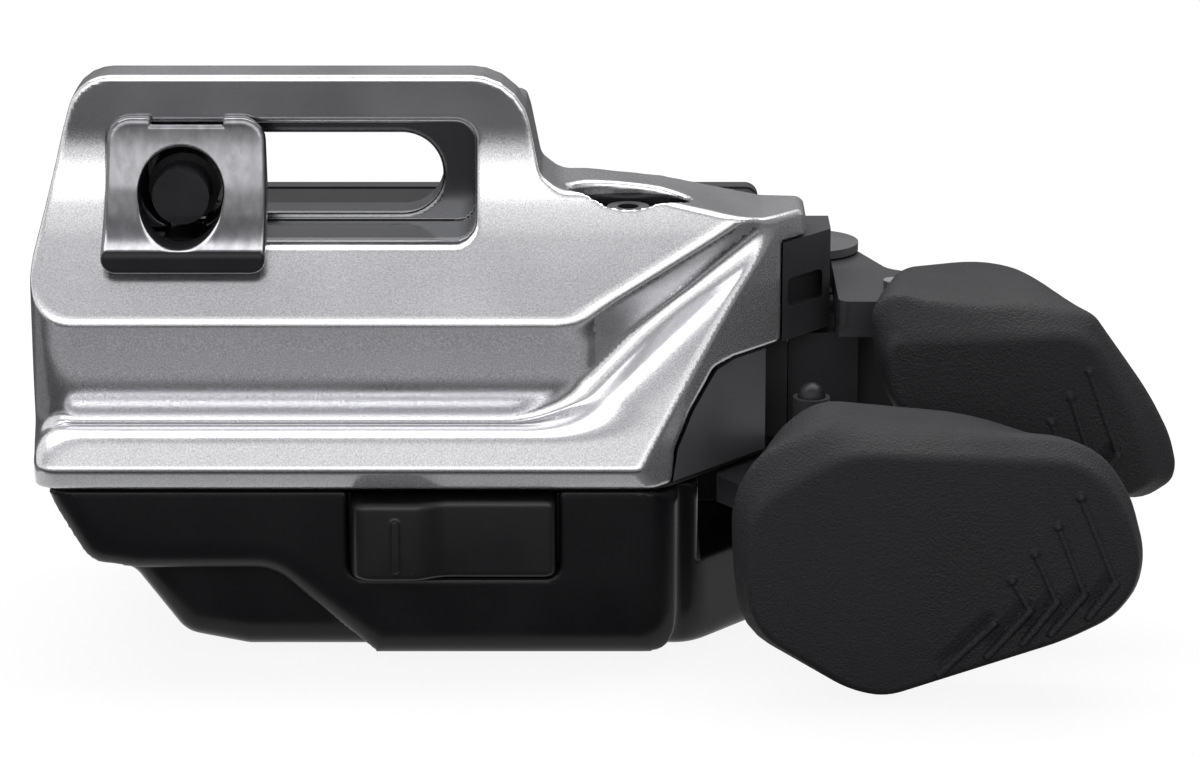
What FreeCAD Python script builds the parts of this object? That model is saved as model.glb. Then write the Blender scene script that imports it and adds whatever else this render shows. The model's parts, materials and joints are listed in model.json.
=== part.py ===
import FreeCAD, Part
import math
import os
import re

# Trigger gear shifter for the right hand, in millimetres.
# The origin is on the clamp bolt's axis, at the front face of the slotted flange.
# +X runs towards the thumb pads, +Y away from the rider, +Z up.

SIZES = {
    # Slotted flange and its slot
    "flange_left": 11.2, "flange_right": 24.6, "flange_top": 8.15, "flange_corner": 4.2,
    "flange_thickness": 3.9, "slot_block_back": 7.0, "slot_block_top": 5.9,
    "pocket_left": 5.0, "pocket_right": 20.6, "pocket_low": 3.15, "pocket_top": 4.7,
    "pocket_depth": 3.7, "pocket_corner": 1.4,
    "slot_half_height": 2.9, "slot_rise": 0.3, "slot_travel": 14.0, "slot_spare": 1.3,
    # Front surfaces of the top cover
    "slope_top": 0.4, "slope_mid_reach": 3.1, "slope_mid_drop": 4.1,
    "crease_reach": 6.9, "crease_drop": 8.05, "band_reach": 6.7, "band_drop": 13.3,
    "groove_reach": 5.8, "groove_drop": 15.8, "crest_reach": 9.6, "crest_drop": 17.8, "rim_drop": 19.0,
    "facet_lean": 0.73, "facet_offset": 1.22, "cover_wall": 1.5, "roof_drop": 4.05,
    "side_start": 33.7, "side_angle": 50.0, "side_end": 42.3, "overhang_end": 44.1,
    "shoulder_drop": 2.1, "shoulder_start": 28.4,
    "recess_x": 31.4, "recess_y": 0.9, "recess_length": 8.6, "recess_width": 4.4, "recess_drop": 2.5,
    # Lower housing
    "housing_reach": 9.4, "housing_drop": 32.0, "housing_left": 10.0, "housing_end": 41.2,
    "housing_wall": 1.6, "gasket_gap": 0.4, "rear_start": 7.3, "rear_top_drop": 4.0, "housing_back": 17.0,
    "rear_left": 8.5, "step_reach": 7.0, "arm_bay_start": 36.3, "arm_bay_drop": 25.4,
    # Function button
    "button_left": 12.0, "button_right": 26.3, "button_top": 19.75, "button_drop": 25.5,
    "button_reach": 10.4, "thumb_reach": 11.3, "thumb_right": 18.3, "button_gap": 0.25,
    "button_stroke": 0.5, "button_lip": 0.7, "button_rib": 0.5,
    # Electronics and cells
    "board_thickness": 1.0, "board_front": 9.2, "switch_size": 3.0, "switch_depth": 1.6,
    "plunger_reach": 0.5, "plunger_radius": 0.8,
    "cell_radius": 8.0, "cell_thickness": 3.2, "cell_x": 9.6, "cell_pitch": 17.9, "cell_foot_gap": 3.7,
    "holder_rim": 0.7,
    "door_thickness": 1.5, "fit_gap": 0.15, "post_radius": 1.7,
    # Clamp
    "bolt_radius": 2.5, "bolt_tip_radius": 2.0, "bolt_tip": 2.3, "bolt_tip_length": 2.9,
    "bolt_head_radius": 3.4, "bolt_head_height": 3.2, "washer_thickness": 1.2, "washer_width": 9.0,
    "saddle_left": 5.5, "saddle_width": 11.6, "saddle_top": 5.35, "saddle_low": 4.85, "slide_gap": 0.15,
    "saddle_top_reach": 0.8, "saddle_lip_reach": 5.4, "saddle_lip_height": 1.5, "bar_radius": 11.1,
    "saddle_hole_half": 2.95, "saddle_hole_top": 3.2, "saddle_hole_low": 3.1, "key_half": 4.0,
    # Lever pivot
    "pivot_x": 45.2, "pivot_y": 13.8, "pin_radius": 1.5, "bush_wall": 0.5, "turn_gap": 0.03,
    "eye_radius": 3.2, "arm_thickness": 1.9, "upper_arm_drop": 8.0, "lower_arm_drop": 19.6,
    "ear_thickness": 1.5, "spring_space": 2.1, "spring_wire": 0.22, "spring_turns": 2.25,
    "cap_height": 0.6, "stack_gap": 0.15, "spine_thickness": 1.6, "bracket_end": 46.0,
    "bracket_drop": 11.4, "bracket_wall": 1.6, "tail_reach": 8.0, "tail_width": 2.4, "tail_back": 2.0,
    # Thumb pads
    "upper_pad_left": 48.3, "upper_pad_front": 5.0, "upper_pad_back": 6.0, "upper_pad_bevel": 1.6,
    "lower_pad_left": 38.4, "lower_pad_front": 16.4, "lower_pad_back": 10.6, "lower_pad_bevel": 2.0,
    "ridge_rise": 0.45, "ridge_half_width": 0.45, "ridge_line_half_width": 0.16,
    # Screws
    "screw_radius": 0.8, "screw_head_radius": 1.5, "screw_head_height": 1.0,
}

PARTS_FOLDER = "parts"
os.makedirs(PARTS_FOLDER, exist_ok=True)

doc = FreeCAD.newDocument("trigger_gear_shifter")
sheet = doc.addObject("Spreadsheet::Sheet", "Sizes")
for row, (name, value) in enumerate(SIZES.items(), start=1):
    sheet.set(f"A{row}", name)
    sheet.set(f"B{row}", str(value))
    sheet.setAlias(f"B{row}", name)
doc.recompute()


class Sheet:
    """Gives each size by its name, as the spreadsheet holds it."""

    def __getattr__(self, name):
        return float(sheet.get(name))


S = Sheet()
ALONG = {
    "x": FreeCAD.Rotation(FreeCAD.Vector(0, 1, 0), 90),
    "y": FreeCAD.Rotation(FreeCAD.Vector(1, 0, 0), -90),
    "z": FreeCAD.Rotation(),
}
NORMAL_OF = {"YZ": "x", "XZ": "y", "XY": "z"}


def bound(text):
    """Puts the sheet's name before each size's name in an expression."""
    return re.sub(r"[a-z_]+", lambda word: f"Sizes.{word[0]}" if word[0] in SIZES else word[0], text)


def corners_of(points):
    """Start, middle and end of each corner: all one point, or a tangent arc where a radius is given."""
    corners = []
    for index, point in enumerate(points):
        here = FreeCAD.Vector(point[0], point[1], 0)
        radius = point[2] if len(point) > 2 else 0.0
        if radius == 0.0:
            corners.append((here, None, here))
            continue
        before = FreeCAD.Vector(*points[index - 1][:2], 0)
        after = FreeCAD.Vector(*points[(index + 1) % len(points)][:2], 0)
        back = (before - here).normalize()
        onward = (after - here).normalize()
        half_angle = back.getAngle(onward) / 2
        reach = radius / math.tan(half_angle)
        bisector = (back + onward).normalize()
        middle = here + bisector * (radius / math.sin(half_angle) - radius)
        corners.append((here + back * reach, middle, here + onward * reach))
    return corners


def outline(points):
    """Edges of a closed outline. A point is (u, v) or (u, v, corner radius)."""
    corners = corners_of(points)
    edges = []
    for index, (start, middle, end) in enumerate(corners):
        if middle is not None:
            edges.append(Part.Arc(start, middle, end))
        next_start = corners[(index + 1) % len(corners)][0]
        if next_start.distanceToPoint(end) > 1e-4:
            edges.append(Part.LineSegment(end, next_start))
    return edges


def slab(label, plane, edges, low, high):
    """A body padded from a sketch, from low to high along the plane's normal axis."""
    body = doc.addObject("PartDesign::Body", label)
    body.Label = label
    sketch = body.newObject("Sketcher::SketchObject", label + "_outline")
    planes = {feature.Role: feature for feature in body.Origin.OriginFeatures}
    sketch.AttachmentSupport = [(planes[plane + "_Plane"], "")]
    sketch.MapMode = "FlatFace"
    sketch.addGeometry(edges, False)
    pad = body.newObject("PartDesign::Pad", label + "_pad")
    pad.Profile = sketch
    pad.setExpression("Length", bound(f"({high}) - ({low})"))
    start = high if plane == "XZ" else low
    body.setExpression("Placement.Base." + NORMAL_OF[plane], bound(start))
    return body


def box(label, low, high):
    """A box between two corners, each given as three expressions."""
    block = doc.addObject("Part::Box", label)
    block.Label = label
    for side, start, end in zip(("Length", "Width", "Height"), low, high):
        block.setExpression(side, bound(f"({end}) - ({start})"))
    for letter, start in zip("xyz", low):
        block.setExpression("Placement.Base." + letter, bound(start))
    return block


def cylinder(label, radius, axis, start, end, centre):
    """A cylinder along an axis from start to end; centre holds its other two coordinates."""
    rod = doc.addObject("Part::Cylinder", label)
    rod.Label = label
    rod.Placement.Rotation = ALONG[axis]
    rod.setExpression("Radius", bound(radius))
    rod.setExpression("Height", bound(f"({end}) - ({start})"))
    place = list(centre)
    place.insert("xyz".index(axis), start)
    for letter, text in zip("xyz", place):
        rod.setExpression("Placement.Base." + letter, bound(text))
    return rod


def fuse(label, *shapes):
    joined = doc.addObject("Part::MultiFuse", label)
    joined.Label = label
    joined.Shapes = list(shapes)
    joined.Refine = True
    return joined


def common(label, first, second):
    shared = doc.addObject("Part::MultiCommon", label)
    shared.Label = label
    shared.Shapes = [first, second]
    shared.Refine = True
    return shared


def cut(label, base, *tools):
    tool = tools[0] if len(tools) == 1 else fuse(label + "_tools", *tools)
    remainder = doc.addObject("Part::Cut", label)
    remainder.Label = label
    remainder.Base = base
    remainder.Tool = tool
    remainder.Refine = True
    return remainder


def screw_blank(label, axis, seat, tip, head_side, centre):
    """A screw's shank from seat to tip, and its head beyond the seat on head_side, +1 or -1."""
    head_top = f"{seat} + {head_side} * screw_head_height"
    shank_ends = (tip, seat) if head_side > 0 else (seat, tip)
    head_ends = (seat, head_top) if head_side > 0 else (head_top, seat)
    shank = cylinder(label + "_shank", "screw_radius", axis, *shank_ends, centre)
    cap = cylinder(label + "_head", "screw_head_radius", axis, *head_ends, centre)
    return fuse(label, shank, cap)


def screw(label, axis, seat, tip, head_side, centre):
    """A screw with a socket in the outer part of its head."""
    floor = f"{seat} + {head_side} * screw_head_height * 0.4"
    mouth = f"{seat} + {head_side} * screw_head_height * 1.5"
    socket_ends = (floor, mouth) if head_side > 0 else (mouth, floor)
    socket = cylinder(label + "_socket", "screw_head_radius * 0.5", axis, *socket_ends, centre)
    return cut(label, screw_blank(label + "_blank", axis, seat, tip, head_side, centre), socket)


# Plan of the housings: the right side runs back at an angle
def side_x(y, inset=0.0):
    """Where the slanted right side, moved in by inset, crosses a depth."""
    angle = math.radians(S.side_angle)
    return S.side_start + (y + S.crest_reach) / math.tan(angle) - inset / math.sin(angle)


def side_y(x, inset=0.0):
    """The depth at which the slanted right side, moved in by inset, crosses a place along X."""
    angle = math.radians(S.side_angle)
    return (x - S.side_start + inset / math.sin(angle)) * math.tan(angle) - S.crest_reach


def side_strip(start, end, outer, inner):
    """Plan of a wall along the slanted side from start to end, between two insets."""
    return [
        (start, side_y(start, outer)), (end, side_y(end, outer)),
        (end, side_y(end, inner)), (start, side_y(start, inner)),
    ]


def cover_plan(inset, back):
    """Plan of the top cover, moved in by inset."""
    left = -S.flange_left + inset
    front = -S.crest_reach + inset
    end = S.overhang_end - inset
    return [
        (left, back), (left, 0.0), (left + 1.1, front), (side_x(front, inset), front),
        (end, side_y(end, inset)), (end, back),
    ]


def housing_plan(inset, back):
    """Plan of the lower housing, moved in by inset."""
    left = -S.housing_left + inset
    front = -S.housing_reach + inset
    end = S.housing_end - inset
    return [
        (left, back), (left, front), (side_x(front, inset), front),
        (end, side_y(end, inset)), (end, back),
    ]


# Top cover
def facet_y(z):
    """Depth of the broad right-hand facet at a height."""
    return S.facet_lean * z + S.facet_offset


def cover_slope():
    """The flange, the long slope, the band, the groove and the bulge, left of the crease."""
    low = -S.rim_drop
    profile = slab("cover_slope_stock", "YZ", outline([
        (0.0, S.flange_top), (0.0, S.slope_top), (-S.slope_mid_reach, -S.slope_mid_drop),
        (-S.crease_reach, -S.crease_drop), (-S.band_reach, -S.band_drop),
        (-S.groove_reach, -S.groove_drop),
        (-S.crest_reach, -S.crest_drop), (-S.crest_reach, low), (S.slot_block_back, low),
        (S.slot_block_back, S.slot_block_top), (S.flange_thickness, S.slot_block_top),
        (S.flange_thickness, S.flange_top),
    ]), "-flange_left", "overhang_end")
    right = S.flange_right
    start = S.shoulder_start
    face = slab("cover_slope_face", "XZ", outline([
        (-S.flange_left, -7.4), (-S.flange_left + 2.8, 4.3),
        (-S.flange_left + 3.9, S.flange_top, S.flange_corner - 1.2),
        (right - 0.8, S.flange_top, S.flange_corner), (right + 0.6, 1.1, 1.2), (right + 2.0, 0.0, 2.0),
        (start, 0.0), (start + 5.3, -0.55), (start + 9.8, -1.5), (start + 7.3, -4.0), (start + 4.9, -5.5),
        (start + 2.75, -S.crease_drop), (start + 1.4, -10.5), (start - 0.5, -S.band_drop),
        (start - 0.8, -S.groove_drop), (start + 1.2, -S.crest_drop), (start + 1.2, low),
        (-S.flange_left, low),
    ]), "-crest_reach - 1", "slot_block_back + 1")
    return common("cover_slope", profile, face)


def cover_facet():
    """The broad facet, the corner of the bulge and the top shoulder, right of the crease."""
    low = -S.rim_drop
    top = S.slope_top
    profile = slab("cover_facet_stock", "YZ", outline([
        (S.slot_block_back, top), (facet_y(top), top),
        (-S.crest_reach, (-S.crest_reach - S.facet_offset) / S.facet_lean),
        (-S.crest_reach, low), (S.slot_block_back, low),
    ]), "shoulder_start - 2", "overhang_end")
    start = S.shoulder_start
    end = S.overhang_end
    face = slab("cover_facet_face", "XZ", outline([
        (start + 1.2, low), (start + 1.2, -S.crest_drop), (start - 1.1, -14.6), (start - 0.1, -12.6),
        (start + 1.4, -10.5), (start + 2.75, -S.crease_drop), (start + 4.9, -5.5), (start + 7.3, -4.0),
        (start, -3.0), (start, 0.0), (start + 5.3, -0.55), (end - 3.2, -S.shoulder_drop + 0.1),
        (end, -S.shoulder_drop, 0.7), (end, -S.roof_drop), (S.side_end, -S.roof_drop), (S.side_end, low),
    ]), "-crest_reach - 1", "slot_block_back + 1")
    return common("cover_facet", profile, face)


def wedge(label, start, end, foot, low, high):
    """What lies in front of the plane through three points, between two heights."""
    normal = (foot - start).cross(end - start).normalize()
    reach = 2 * S.overhang_end
    block = box(label + "_block", ("0", "0", "0"), ("2 * overhang_end",) * 3)
    for letter in "xyz":
        block.setExpression("Placement.Base." + letter, None)
    turn = FreeCAD.Rotation(FreeCAD.Vector(0, 0, 1), normal)
    block.Placement = FreeCAD.Placement(start - turn.multVec(FreeCAD.Vector(reach / 2, reach / 2, 0)),
                                        turn)
    limit = box(label + "_limit", ("-flange_left", "-crest_reach - 5", low),
                ("overhang_end", "slot_block_back", high))
    return common(label, block, limit)


def crease_wedges():
    """What leaves the slanted wall between the long slope and the broad facet, above and below the crease."""
    crease = FreeCAD.Vector(S.side_start, -S.crease_reach, -S.crease_drop)
    upper_start = crease + FreeCAD.Vector(-4.2, 0.98, 0.75)
    upper_end = crease + FreeCAD.Vector(2.1, 3.54, 4.41)
    lower_start = crease + FreeCAD.Vector(-6.1, 0.05, 0)
    lower_foot = crease + FreeCAD.Vector(-6.1, 0.15, -5.25)
    shared = crease + FreeCAD.Vector(-2.5, 2.31, 0.09)
    return [
        wedge("crease_wedge_upper", upper_start, upper_end, shared, "-crease_drop", "flange_top"),
        wedge("crease_wedge_lower", lower_start, shared, lower_foot, "-crease_drop - 3.15",
              "-crease_drop"),
    ]


def cover_cavity():
    """The hollow under the cover, open at its back and its foot."""
    wall = S.cover_wall
    left = slab("cover_hollow_left", "YZ", outline([
        (S.slot_block_back + 1, -5.2), (-S.slope_mid_reach + wall + 0.4, -5.2),
        (-S.crease_reach + wall, -8.7),
        (-S.band_reach + wall, -S.band_drop), (-S.groove_reach + wall, -S.groove_drop),
        (-S.crest_reach + wall, -S.crest_drop - 0.6), (-S.crest_reach + wall, -S.rim_drop - 1),
        (S.slot_block_back + 1, -S.rim_drop - 1),
    ]), "-flange_left - 1", "shoulder_start - 1")
    roof = -S.roof_drop
    deep = -S.band_reach + wall + 0.2
    right = slab("cover_hollow_right", "YZ", outline([
        (S.slot_block_back + 1, roof), (facet_y(roof) + wall * 1.3, roof),
        (deep, (deep - wall * 1.3 - S.facet_offset) / S.facet_lean), (deep, -S.rim_drop - 1),
        (S.slot_block_back + 1, -S.rim_drop - 1),
    ]), "shoulder_start - 1.1", "overhang_end + 1")
    corner = slab("cover_hollow_corner", "YZ", outline([
        (deep + 1, -S.groove_drop + 0.3), (-S.crest_reach + wall, -S.groove_drop - 0.6),
        (-S.crest_reach + wall, -S.rim_drop - 1), (deep + 1, -S.rim_drop - 1),
    ]), "shoulder_start + 2.6", "overhang_end + 1")
    plan = slab("cover_hollow_plan", "XY", outline(cover_plan(wall, S.slot_block_back + 2)),
                "-rim_drop - 2", "flange_top")
    return common("cover_hollow", fuse("cover_hollows", left, right, corner), plan)


def cover_side_cut():
    """The part of the slanted side below the cover's own edge, where the side panel shows."""
    low = -S.rim_drop - 1
    drop = -S.bracket_drop
    return slab("cover_side_cut", "XZ", outline([
        (S.overhang_end + 1, drop), (S.housing_end - 2.4, drop), (S.housing_end - 3.8, drop - 0.3, 0.6),
        (S.housing_end - 4.5, drop - 1.4), (S.housing_end - 5.5, drop - 2.9),
        (S.housing_end - 6.6, drop - 5.3),
        (S.housing_end - 7.0, low), (S.overhang_end + 1, low),
    ]), "-crest_reach - 1", "slot_block_back + 1")


COVER_SCREW_CENTRE = ("recess_x", "recess_y + 0.2")
FIX_CENTRES = {"left": ("-6", "-13"), "right": ("26", "-9.5")}
FIX_TIP = "rear_start - 4.3"
FIX_SEAT = "rear_start + housing_wall / 2"


def top_cover():
    plan = slab("cover_plan_stock", "XY", outline(cover_plan(0.0, S.slot_block_back)),
                "-rim_drop", "flange_top")
    slope = cut("cover_creased", cover_slope(), *crease_wedges())
    solid = common("cover_solid", fuse("cover_faces", slope, cover_facet()), plan)
    hollow = cut("cover_shell", solid, cover_cavity(), cover_side_cut())
    bosses = [
        cylinder("cover_boss_" + side, "screw_radius + cover_wall", "y", "-band_reach + cover_wall / 2",
                 "slot_block_back", centre)
        for side, centre in FIX_CENTRES.items()
    ]
    pocket = slab("flange_pocket", "XZ", outline([
        (-S.pocket_left, -S.pocket_low, S.pocket_corner), (-S.pocket_left, S.pocket_top, S.pocket_corner),
        (S.pocket_right, S.pocket_top, S.pocket_corner), (S.pocket_right, -S.pocket_low, S.pocket_corner),
    ]), "-crest_reach", "pocket_depth")
    end = S.slot_travel + S.slot_spare
    half = S.slot_half_height
    rise = S.slot_rise
    slot = slab("flange_slot", "XZ", [
        Part.LineSegment(FreeCAD.Vector(0, rise + half, 0), FreeCAD.Vector(end, rise + half, 0)),
        Part.Arc(FreeCAD.Vector(end, rise + half, 0), FreeCAD.Vector(end + half, rise, 0),
                 FreeCAD.Vector(end, rise - half, 0)),
        Part.LineSegment(FreeCAD.Vector(end, rise - half, 0), FreeCAD.Vector(0, rise - half, 0)),
        Part.Arc(FreeCAD.Vector(0, rise - half, 0), FreeCAD.Vector(-half, rise, 0),
                 FreeCAD.Vector(0, rise + half, 0)),
    ], "0", "slot_block_back + 1")
    half_length = S.recess_length / 2
    half_width = S.recess_width / 2
    recess = slab("screw_recess", "XY", outline([
        (S.recess_x - half_length, S.recess_y - half_width, half_width * 0.98),
        (S.recess_x + half_length, S.recess_y - half_width, half_width * 0.98),
        (S.recess_x + half_length, S.recess_y + half_width, half_width * 0.98),
        (S.recess_x - half_length, S.recess_y + half_width, half_width * 0.98),
    ]), "-recess_drop", "flange_top")
    hole = cylinder("cover_screw_hole", "screw_radius", "z", "-roof_drop - 1", "0", COVER_SCREW_CENTRE)
    fix_holes = [
        cylinder("cover_fix_hole_" + side, "screw_radius", "y", FIX_TIP, "slot_block_back + 1", centre)
        for side, centre in FIX_CENTRES.items()
    ]
    body = fuse("cover_with_bosses", hollow, *bosses)
    return cut("top_cover", body, pocket, slot, recess, hole, *fix_holes)


def cover_screw():
    return screw("cover_screw", "z", "-recess_drop", "-recess_drop - 4.5", 1, COVER_SCREW_CENTRE)


def ring(label, plane, outer, inner, low, high):
    """A flat ring between two outlines."""
    return cut(label, slab(label + "_outer", plane, outline(outer), low, high),
               slab(label + "_inner", plane, outline(inner), low + " - 1", high + " + 1"))


def cover_gasket():
    back = S.slot_block_back
    return ring("cover_gasket", "XY", housing_plan(0.25, back - 0.3), housing_plan(1.25, back - 1.3),
                "-rim_drop - gasket_gap", "-rim_drop")


# Lower housing
def step_outline(step):
    """Lower-left corner of the housing seen from the front; step lowers it towards the back."""
    left = -S.housing_left
    low = -S.housing_drop
    if step:
        return [(left + 3.3, -25.2), (left + 6.4, -26.4), (left + 9.9, low + 0.9, 2.0),
                (left + 13.8, low)]
    return [(left + 3.3, -25.2, 1.0), (left + 6.5, -25.75), (left + 16.3, -25.75, 2.0),
            (left + 23.5, low)]


def rear_face(inset):
    """Rear half of the housing seen from the front, moved in by inset."""
    left = -S.rear_left + inset
    low = -S.housing_drop + inset
    top = -S.rear_top_drop - inset
    end = S.housing_end - inset
    return [
        (left, top, 1.5), (end, top, 1.0), (end, low, 1.0), (left + 12.3, low),
        (left + 8.4, low + 0.9, 1.5),
        (left + 5.0, -26.4 + inset), (left, -21.0 + inset),
    ]


POSTS = {
    "left_top": ("-4.9", "-rear_top_drop - 3.6"), "right_top": ("33.4", "-rear_top_drop - 3.6"),
    "left_foot": ("6.4", "-housing_drop + 3.6"), "right_foot": ("35.2", "-housing_drop + 3.6"),
}
LEVER_DROPS = {"upper": "upper_arm_drop", "lower": "lower_arm_drop"}


def tail_slots():
    """Slots in the housing's side that the tails of both levers pass through."""
    return [
        box("housing_slot_" + name,
            ("housing_end - housing_wall - 1", "pivot_y - tail_width", f"-{drop} - arm_thickness - 0.5"),
            ("housing_end + 1", "pivot_y + tail_back + 0.4", f"-{drop} + 0.5"))
        for name, drop in LEVER_DROPS.items()
    ]


def lower_housing():
    top = -S.rim_drop - S.gasket_gap
    end = S.housing_end
    left = -S.housing_left
    low = -S.housing_drop
    front = slab("housing_front", "XZ", outline([(left, top)] + step_outline(False) + [(end, low, 0.8),
                                                                                       (end, top)]),
                 "-housing_reach", "-step_reach")
    middle = slab("housing_middle", "XZ", outline([(left, top)] + step_outline(True) + [(end, low, 0.8),
                                                                                        (end, top)]),
                  "-step_reach", "rear_start")
    rear = slab("housing_rear", "XZ", outline(rear_face(0.0)), "rear_start", "housing_back")
    plan = slab("housing_plan", "XY", outline(housing_plan(0.0, S.housing_back)), "-housing_drop", "0")
    solid = common("housing_solid", fuse("housing_stock", front, middle, rear), plan)
    wall = S.housing_wall
    bay = S.arm_bay_start
    front_hollow = common(
        "housing_front_hollow",
        slab("housing_front_room", "XZ", outline([
            (left + 3.0, top + 1), (left + 5.0, -23.9), (left + 16.9, -24.1), (left + 24.2, low + wall),
            (bay - wall, low + wall), (bay - wall, top + 1),
        ]), "-housing_reach + housing_wall", "rear_start - housing_wall"),
        slab("housing_front_plan", "XY", outline(housing_plan(wall, S.rear_start - wall)),
             "-housing_drop", "0"))
    rear_hollow = slab("housing_rear_hollow", "XZ", outline(rear_face(wall)),
                       "rear_start + housing_wall", "housing_back + 1")
    arm_bay = box("housing_arm_bay", ("arm_bay_start", "-housing_reach - 1", "-arm_bay_drop"),
                  ("housing_end + 1", "rear_start", "-rim_drop"))
    notch = box("button_notch",
                ("button_left - button_gap", "-housing_reach - 1", "-button_drop - button_gap"),
                ("button_right + button_gap", "-housing_reach + housing_wall + 0.5", "-rim_drop"))
    fixes = []
    for side, centre in FIX_CENTRES.items():
        fixes.append(cylinder("housing_fix_hole_" + side, "screw_radius", "y", "rear_start - 1",
                              "rear_start + housing_wall + 1", centre))
        fixes.append(cylinder("housing_fix_seat_" + side, "screw_head_radius", "y", FIX_SEAT,
                              "rear_start + housing_wall + 1", centre))
    bracket_holes = [
        cylinder(f"housing_bracket_hole_{index}", "screw_radius", "x", "housing_end - housing_wall - 1",
                 "housing_end + 1", centre)
        for index, centre in enumerate(BRACKET_SCREWS)
    ]
    shell = cut("housing_shell", solid, front_hollow, rear_hollow, arm_bay, notch, *fixes, *bracket_holes,
                *tail_slots())
    posts = [
        cylinder("housing_post_" + name, "post_radius", "y", "rear_start + housing_wall / 2",
                 "housing_back", centre)
        for name, centre in POSTS.items()
    ]
    holes = [
        cylinder("housing_post_hole_" + name, "screw_radius", "y", "housing_back - 5", "housing_back + 1",
                 centre)
        for name, centre in POSTS.items()
    ]
    return cut("lower_housing", fuse("housing_with_posts", shell, *posts), *holes)


def housing_screws():
    return fuse("housing_screws", *[
        screw("housing_screw_" + side, "y", FIX_SEAT, FIX_TIP, 1, centre) for side,
        centre in FIX_CENTRES.items()
    ])


def side_panel():
    gap = S.fit_gap
    drop = -S.bracket_drop - gap
    low = -S.rim_drop + 0.05
    face = slab("side_panel_face", "XZ", outline([
        (S.housing_end, drop), (S.housing_end - 2.3, drop), (S.housing_end - 3.6, drop - 0.4, 0.6),
        (S.housing_end - 4.3, drop - 1.4), (S.housing_end - 5.3, drop - 2.9),
        (S.housing_end - 6.35, drop - 5.2),
        (S.housing_end - 6.7, low), (S.housing_end, low),
    ]), "-crest_reach", "slot_block_back")
    strip = slab("side_panel_strip", "XY",
                 outline(side_strip(S.housing_end - 7.5, S.housing_end, 0.1, S.cover_wall)),
                 "-rim_drop - 1", "0")
    return common("side_panel", face, strip)


# Side bracket, which carries the levers' pivot pin
BRACKET_SCREWS = (("rear_start + 1.7", "-bracket_drop - 0.2"),
                  ("rear_start + 1.7", "-bracket_drop - 3.8"))
UPPER_EAR_TOP = "-upper_arm_drop - arm_thickness - spring_space"
LOWER_EAR_LOW = "-lower_arm_drop + spring_space"
SPINE_START = "housing_end + 0.1"
SPINE_END = "housing_end + 0.1 + spine_thickness"
PIVOT = ("pivot_x", "pivot_y")


def ear(label, low, high):
    """A plate from the spine to the pivot pin."""
    plate = box(label + "_plate", (SPINE_START, "pivot_y - eye_radius", low),
                ("pivot_x", "pivot_y + eye_radius", high))
    return fuse(label, plate, cylinder(label + "_end", "eye_radius", "z", low, high, PIVOT))


def side_bracket():
    top = "-roof_drop - 0.1"
    start = S.side_end + 0.1
    end = S.bracket_end
    wall = S.bracket_wall
    inside = S.cover_wall + S.fit_gap
    spine_start = S.housing_end + 0.1
    spine_end = spine_start + S.spine_thickness
    roof_back = S.pivot_y - S.eye_radius - 1.6
    tongue_start = S.recess_x - 2.0
    tongue_front = S.recess_y - 0.2
    tongue_back = S.slot_block_back - 0.2
    front = slab("bracket_front", "XY", outline(side_strip(start, end, 0.05, wall)), "-bracket_drop", top)
    end_wall = box("bracket_end_wall", ("bracket_end - 1.2", f"{side_y(end, 0.05)}", "-bracket_drop"),
                   ("bracket_end", f"{roof_back}", top))
    roof = slab("bracket_roof", "XY", outline([
        (start, side_y(start, 0.05)), (end, side_y(end, 0.05)), (end, roof_back),
        (spine_start, roof_back),
        (spine_start, side_y(spine_start, inside)), (start, side_y(start, inside)),
    ]), "-roof_drop - 1.5", top)
    spine = box("bracket_spine", (SPINE_START, f"{side_y(start, inside)}", LOWER_EAR_LOW),
                (SPINE_END, "pivot_y + eye_radius", top))
    foot = box("bracket_foot", (SPINE_START, f"{side_y(start, inside)}", "-lower_arm_drop + 0.4"),
               (SPINE_END, "pivot_y - eye_radius - 0.2", LOWER_EAR_LOW))
    tongue = slab("bracket_tongue", "XY", outline([
        (tongue_start, tongue_front), (side_x(tongue_front, inside), tongue_front),
        (spine_end, side_y(spine_end, inside)), (spine_end, tongue_back), (tongue_start, tongue_back),
    ]), "-roof_drop - 3.2", top)
    ears = [
        ear("bracket_upper_ear", f"{UPPER_EAR_TOP} - ear_thickness", UPPER_EAR_TOP),
        ear("bracket_lower_ear", LOWER_EAR_LOW, f"{LOWER_EAR_LOW} + ear_thickness"),
    ]
    recess = common("bracket_recess",
                    slab("bracket_recess_face", "XZ", outline([
                        (start + 0.4, -9.1, 0.3), (start + 0.4, -6.9, 0.3), (end - 0.6, -6.9, 0.4),
                        (end - 0.6, -9.1, 0.4),
                    ]), "-crest_reach", "pivot_y"),
                    slab("bracket_recess_strip", "XY", outline(side_strip(start, end, -1.0, wall * 0.6)),
                         "-bracket_drop", "0"))
    holes = [
        cylinder("bracket_screw_hole", "screw_radius", "z", "-roof_drop - 4", "0", COVER_SCREW_CENTRE),
        cylinder("bracket_pin_hole", "pin_radius", "z", "-housing_drop", "0", PIVOT),
    ]
    for index, centre in enumerate(BRACKET_SCREWS):
        holes.append(cylinder(f"bracket_fix_hole_{index}", "screw_radius", "x", "housing_end",
                              "bracket_end", centre))
    eye_slot = box("bracket_eye_slot",
                   ("housing_end", "pivot_y - eye_radius - 0.3", "-upper_arm_drop - arm_thickness - 0.5"),
                   (f"{SPINE_END} + 0.5", "pivot_y + eye_radius + 0.3", "0"))
    blank = fuse("bracket_blank", front, end_wall, roof, spine, foot, tongue, *ears)
    return cut("side_bracket", blank, recess, eye_slot, *holes)


def bracket_screws():
    return fuse("bracket_screws", *[
        screw(f"bracket_screw_{index}", "x", SPINE_END, "housing_end - housing_wall", 1, centre)
        for index, centre in enumerate(BRACKET_SCREWS)
    ])


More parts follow.
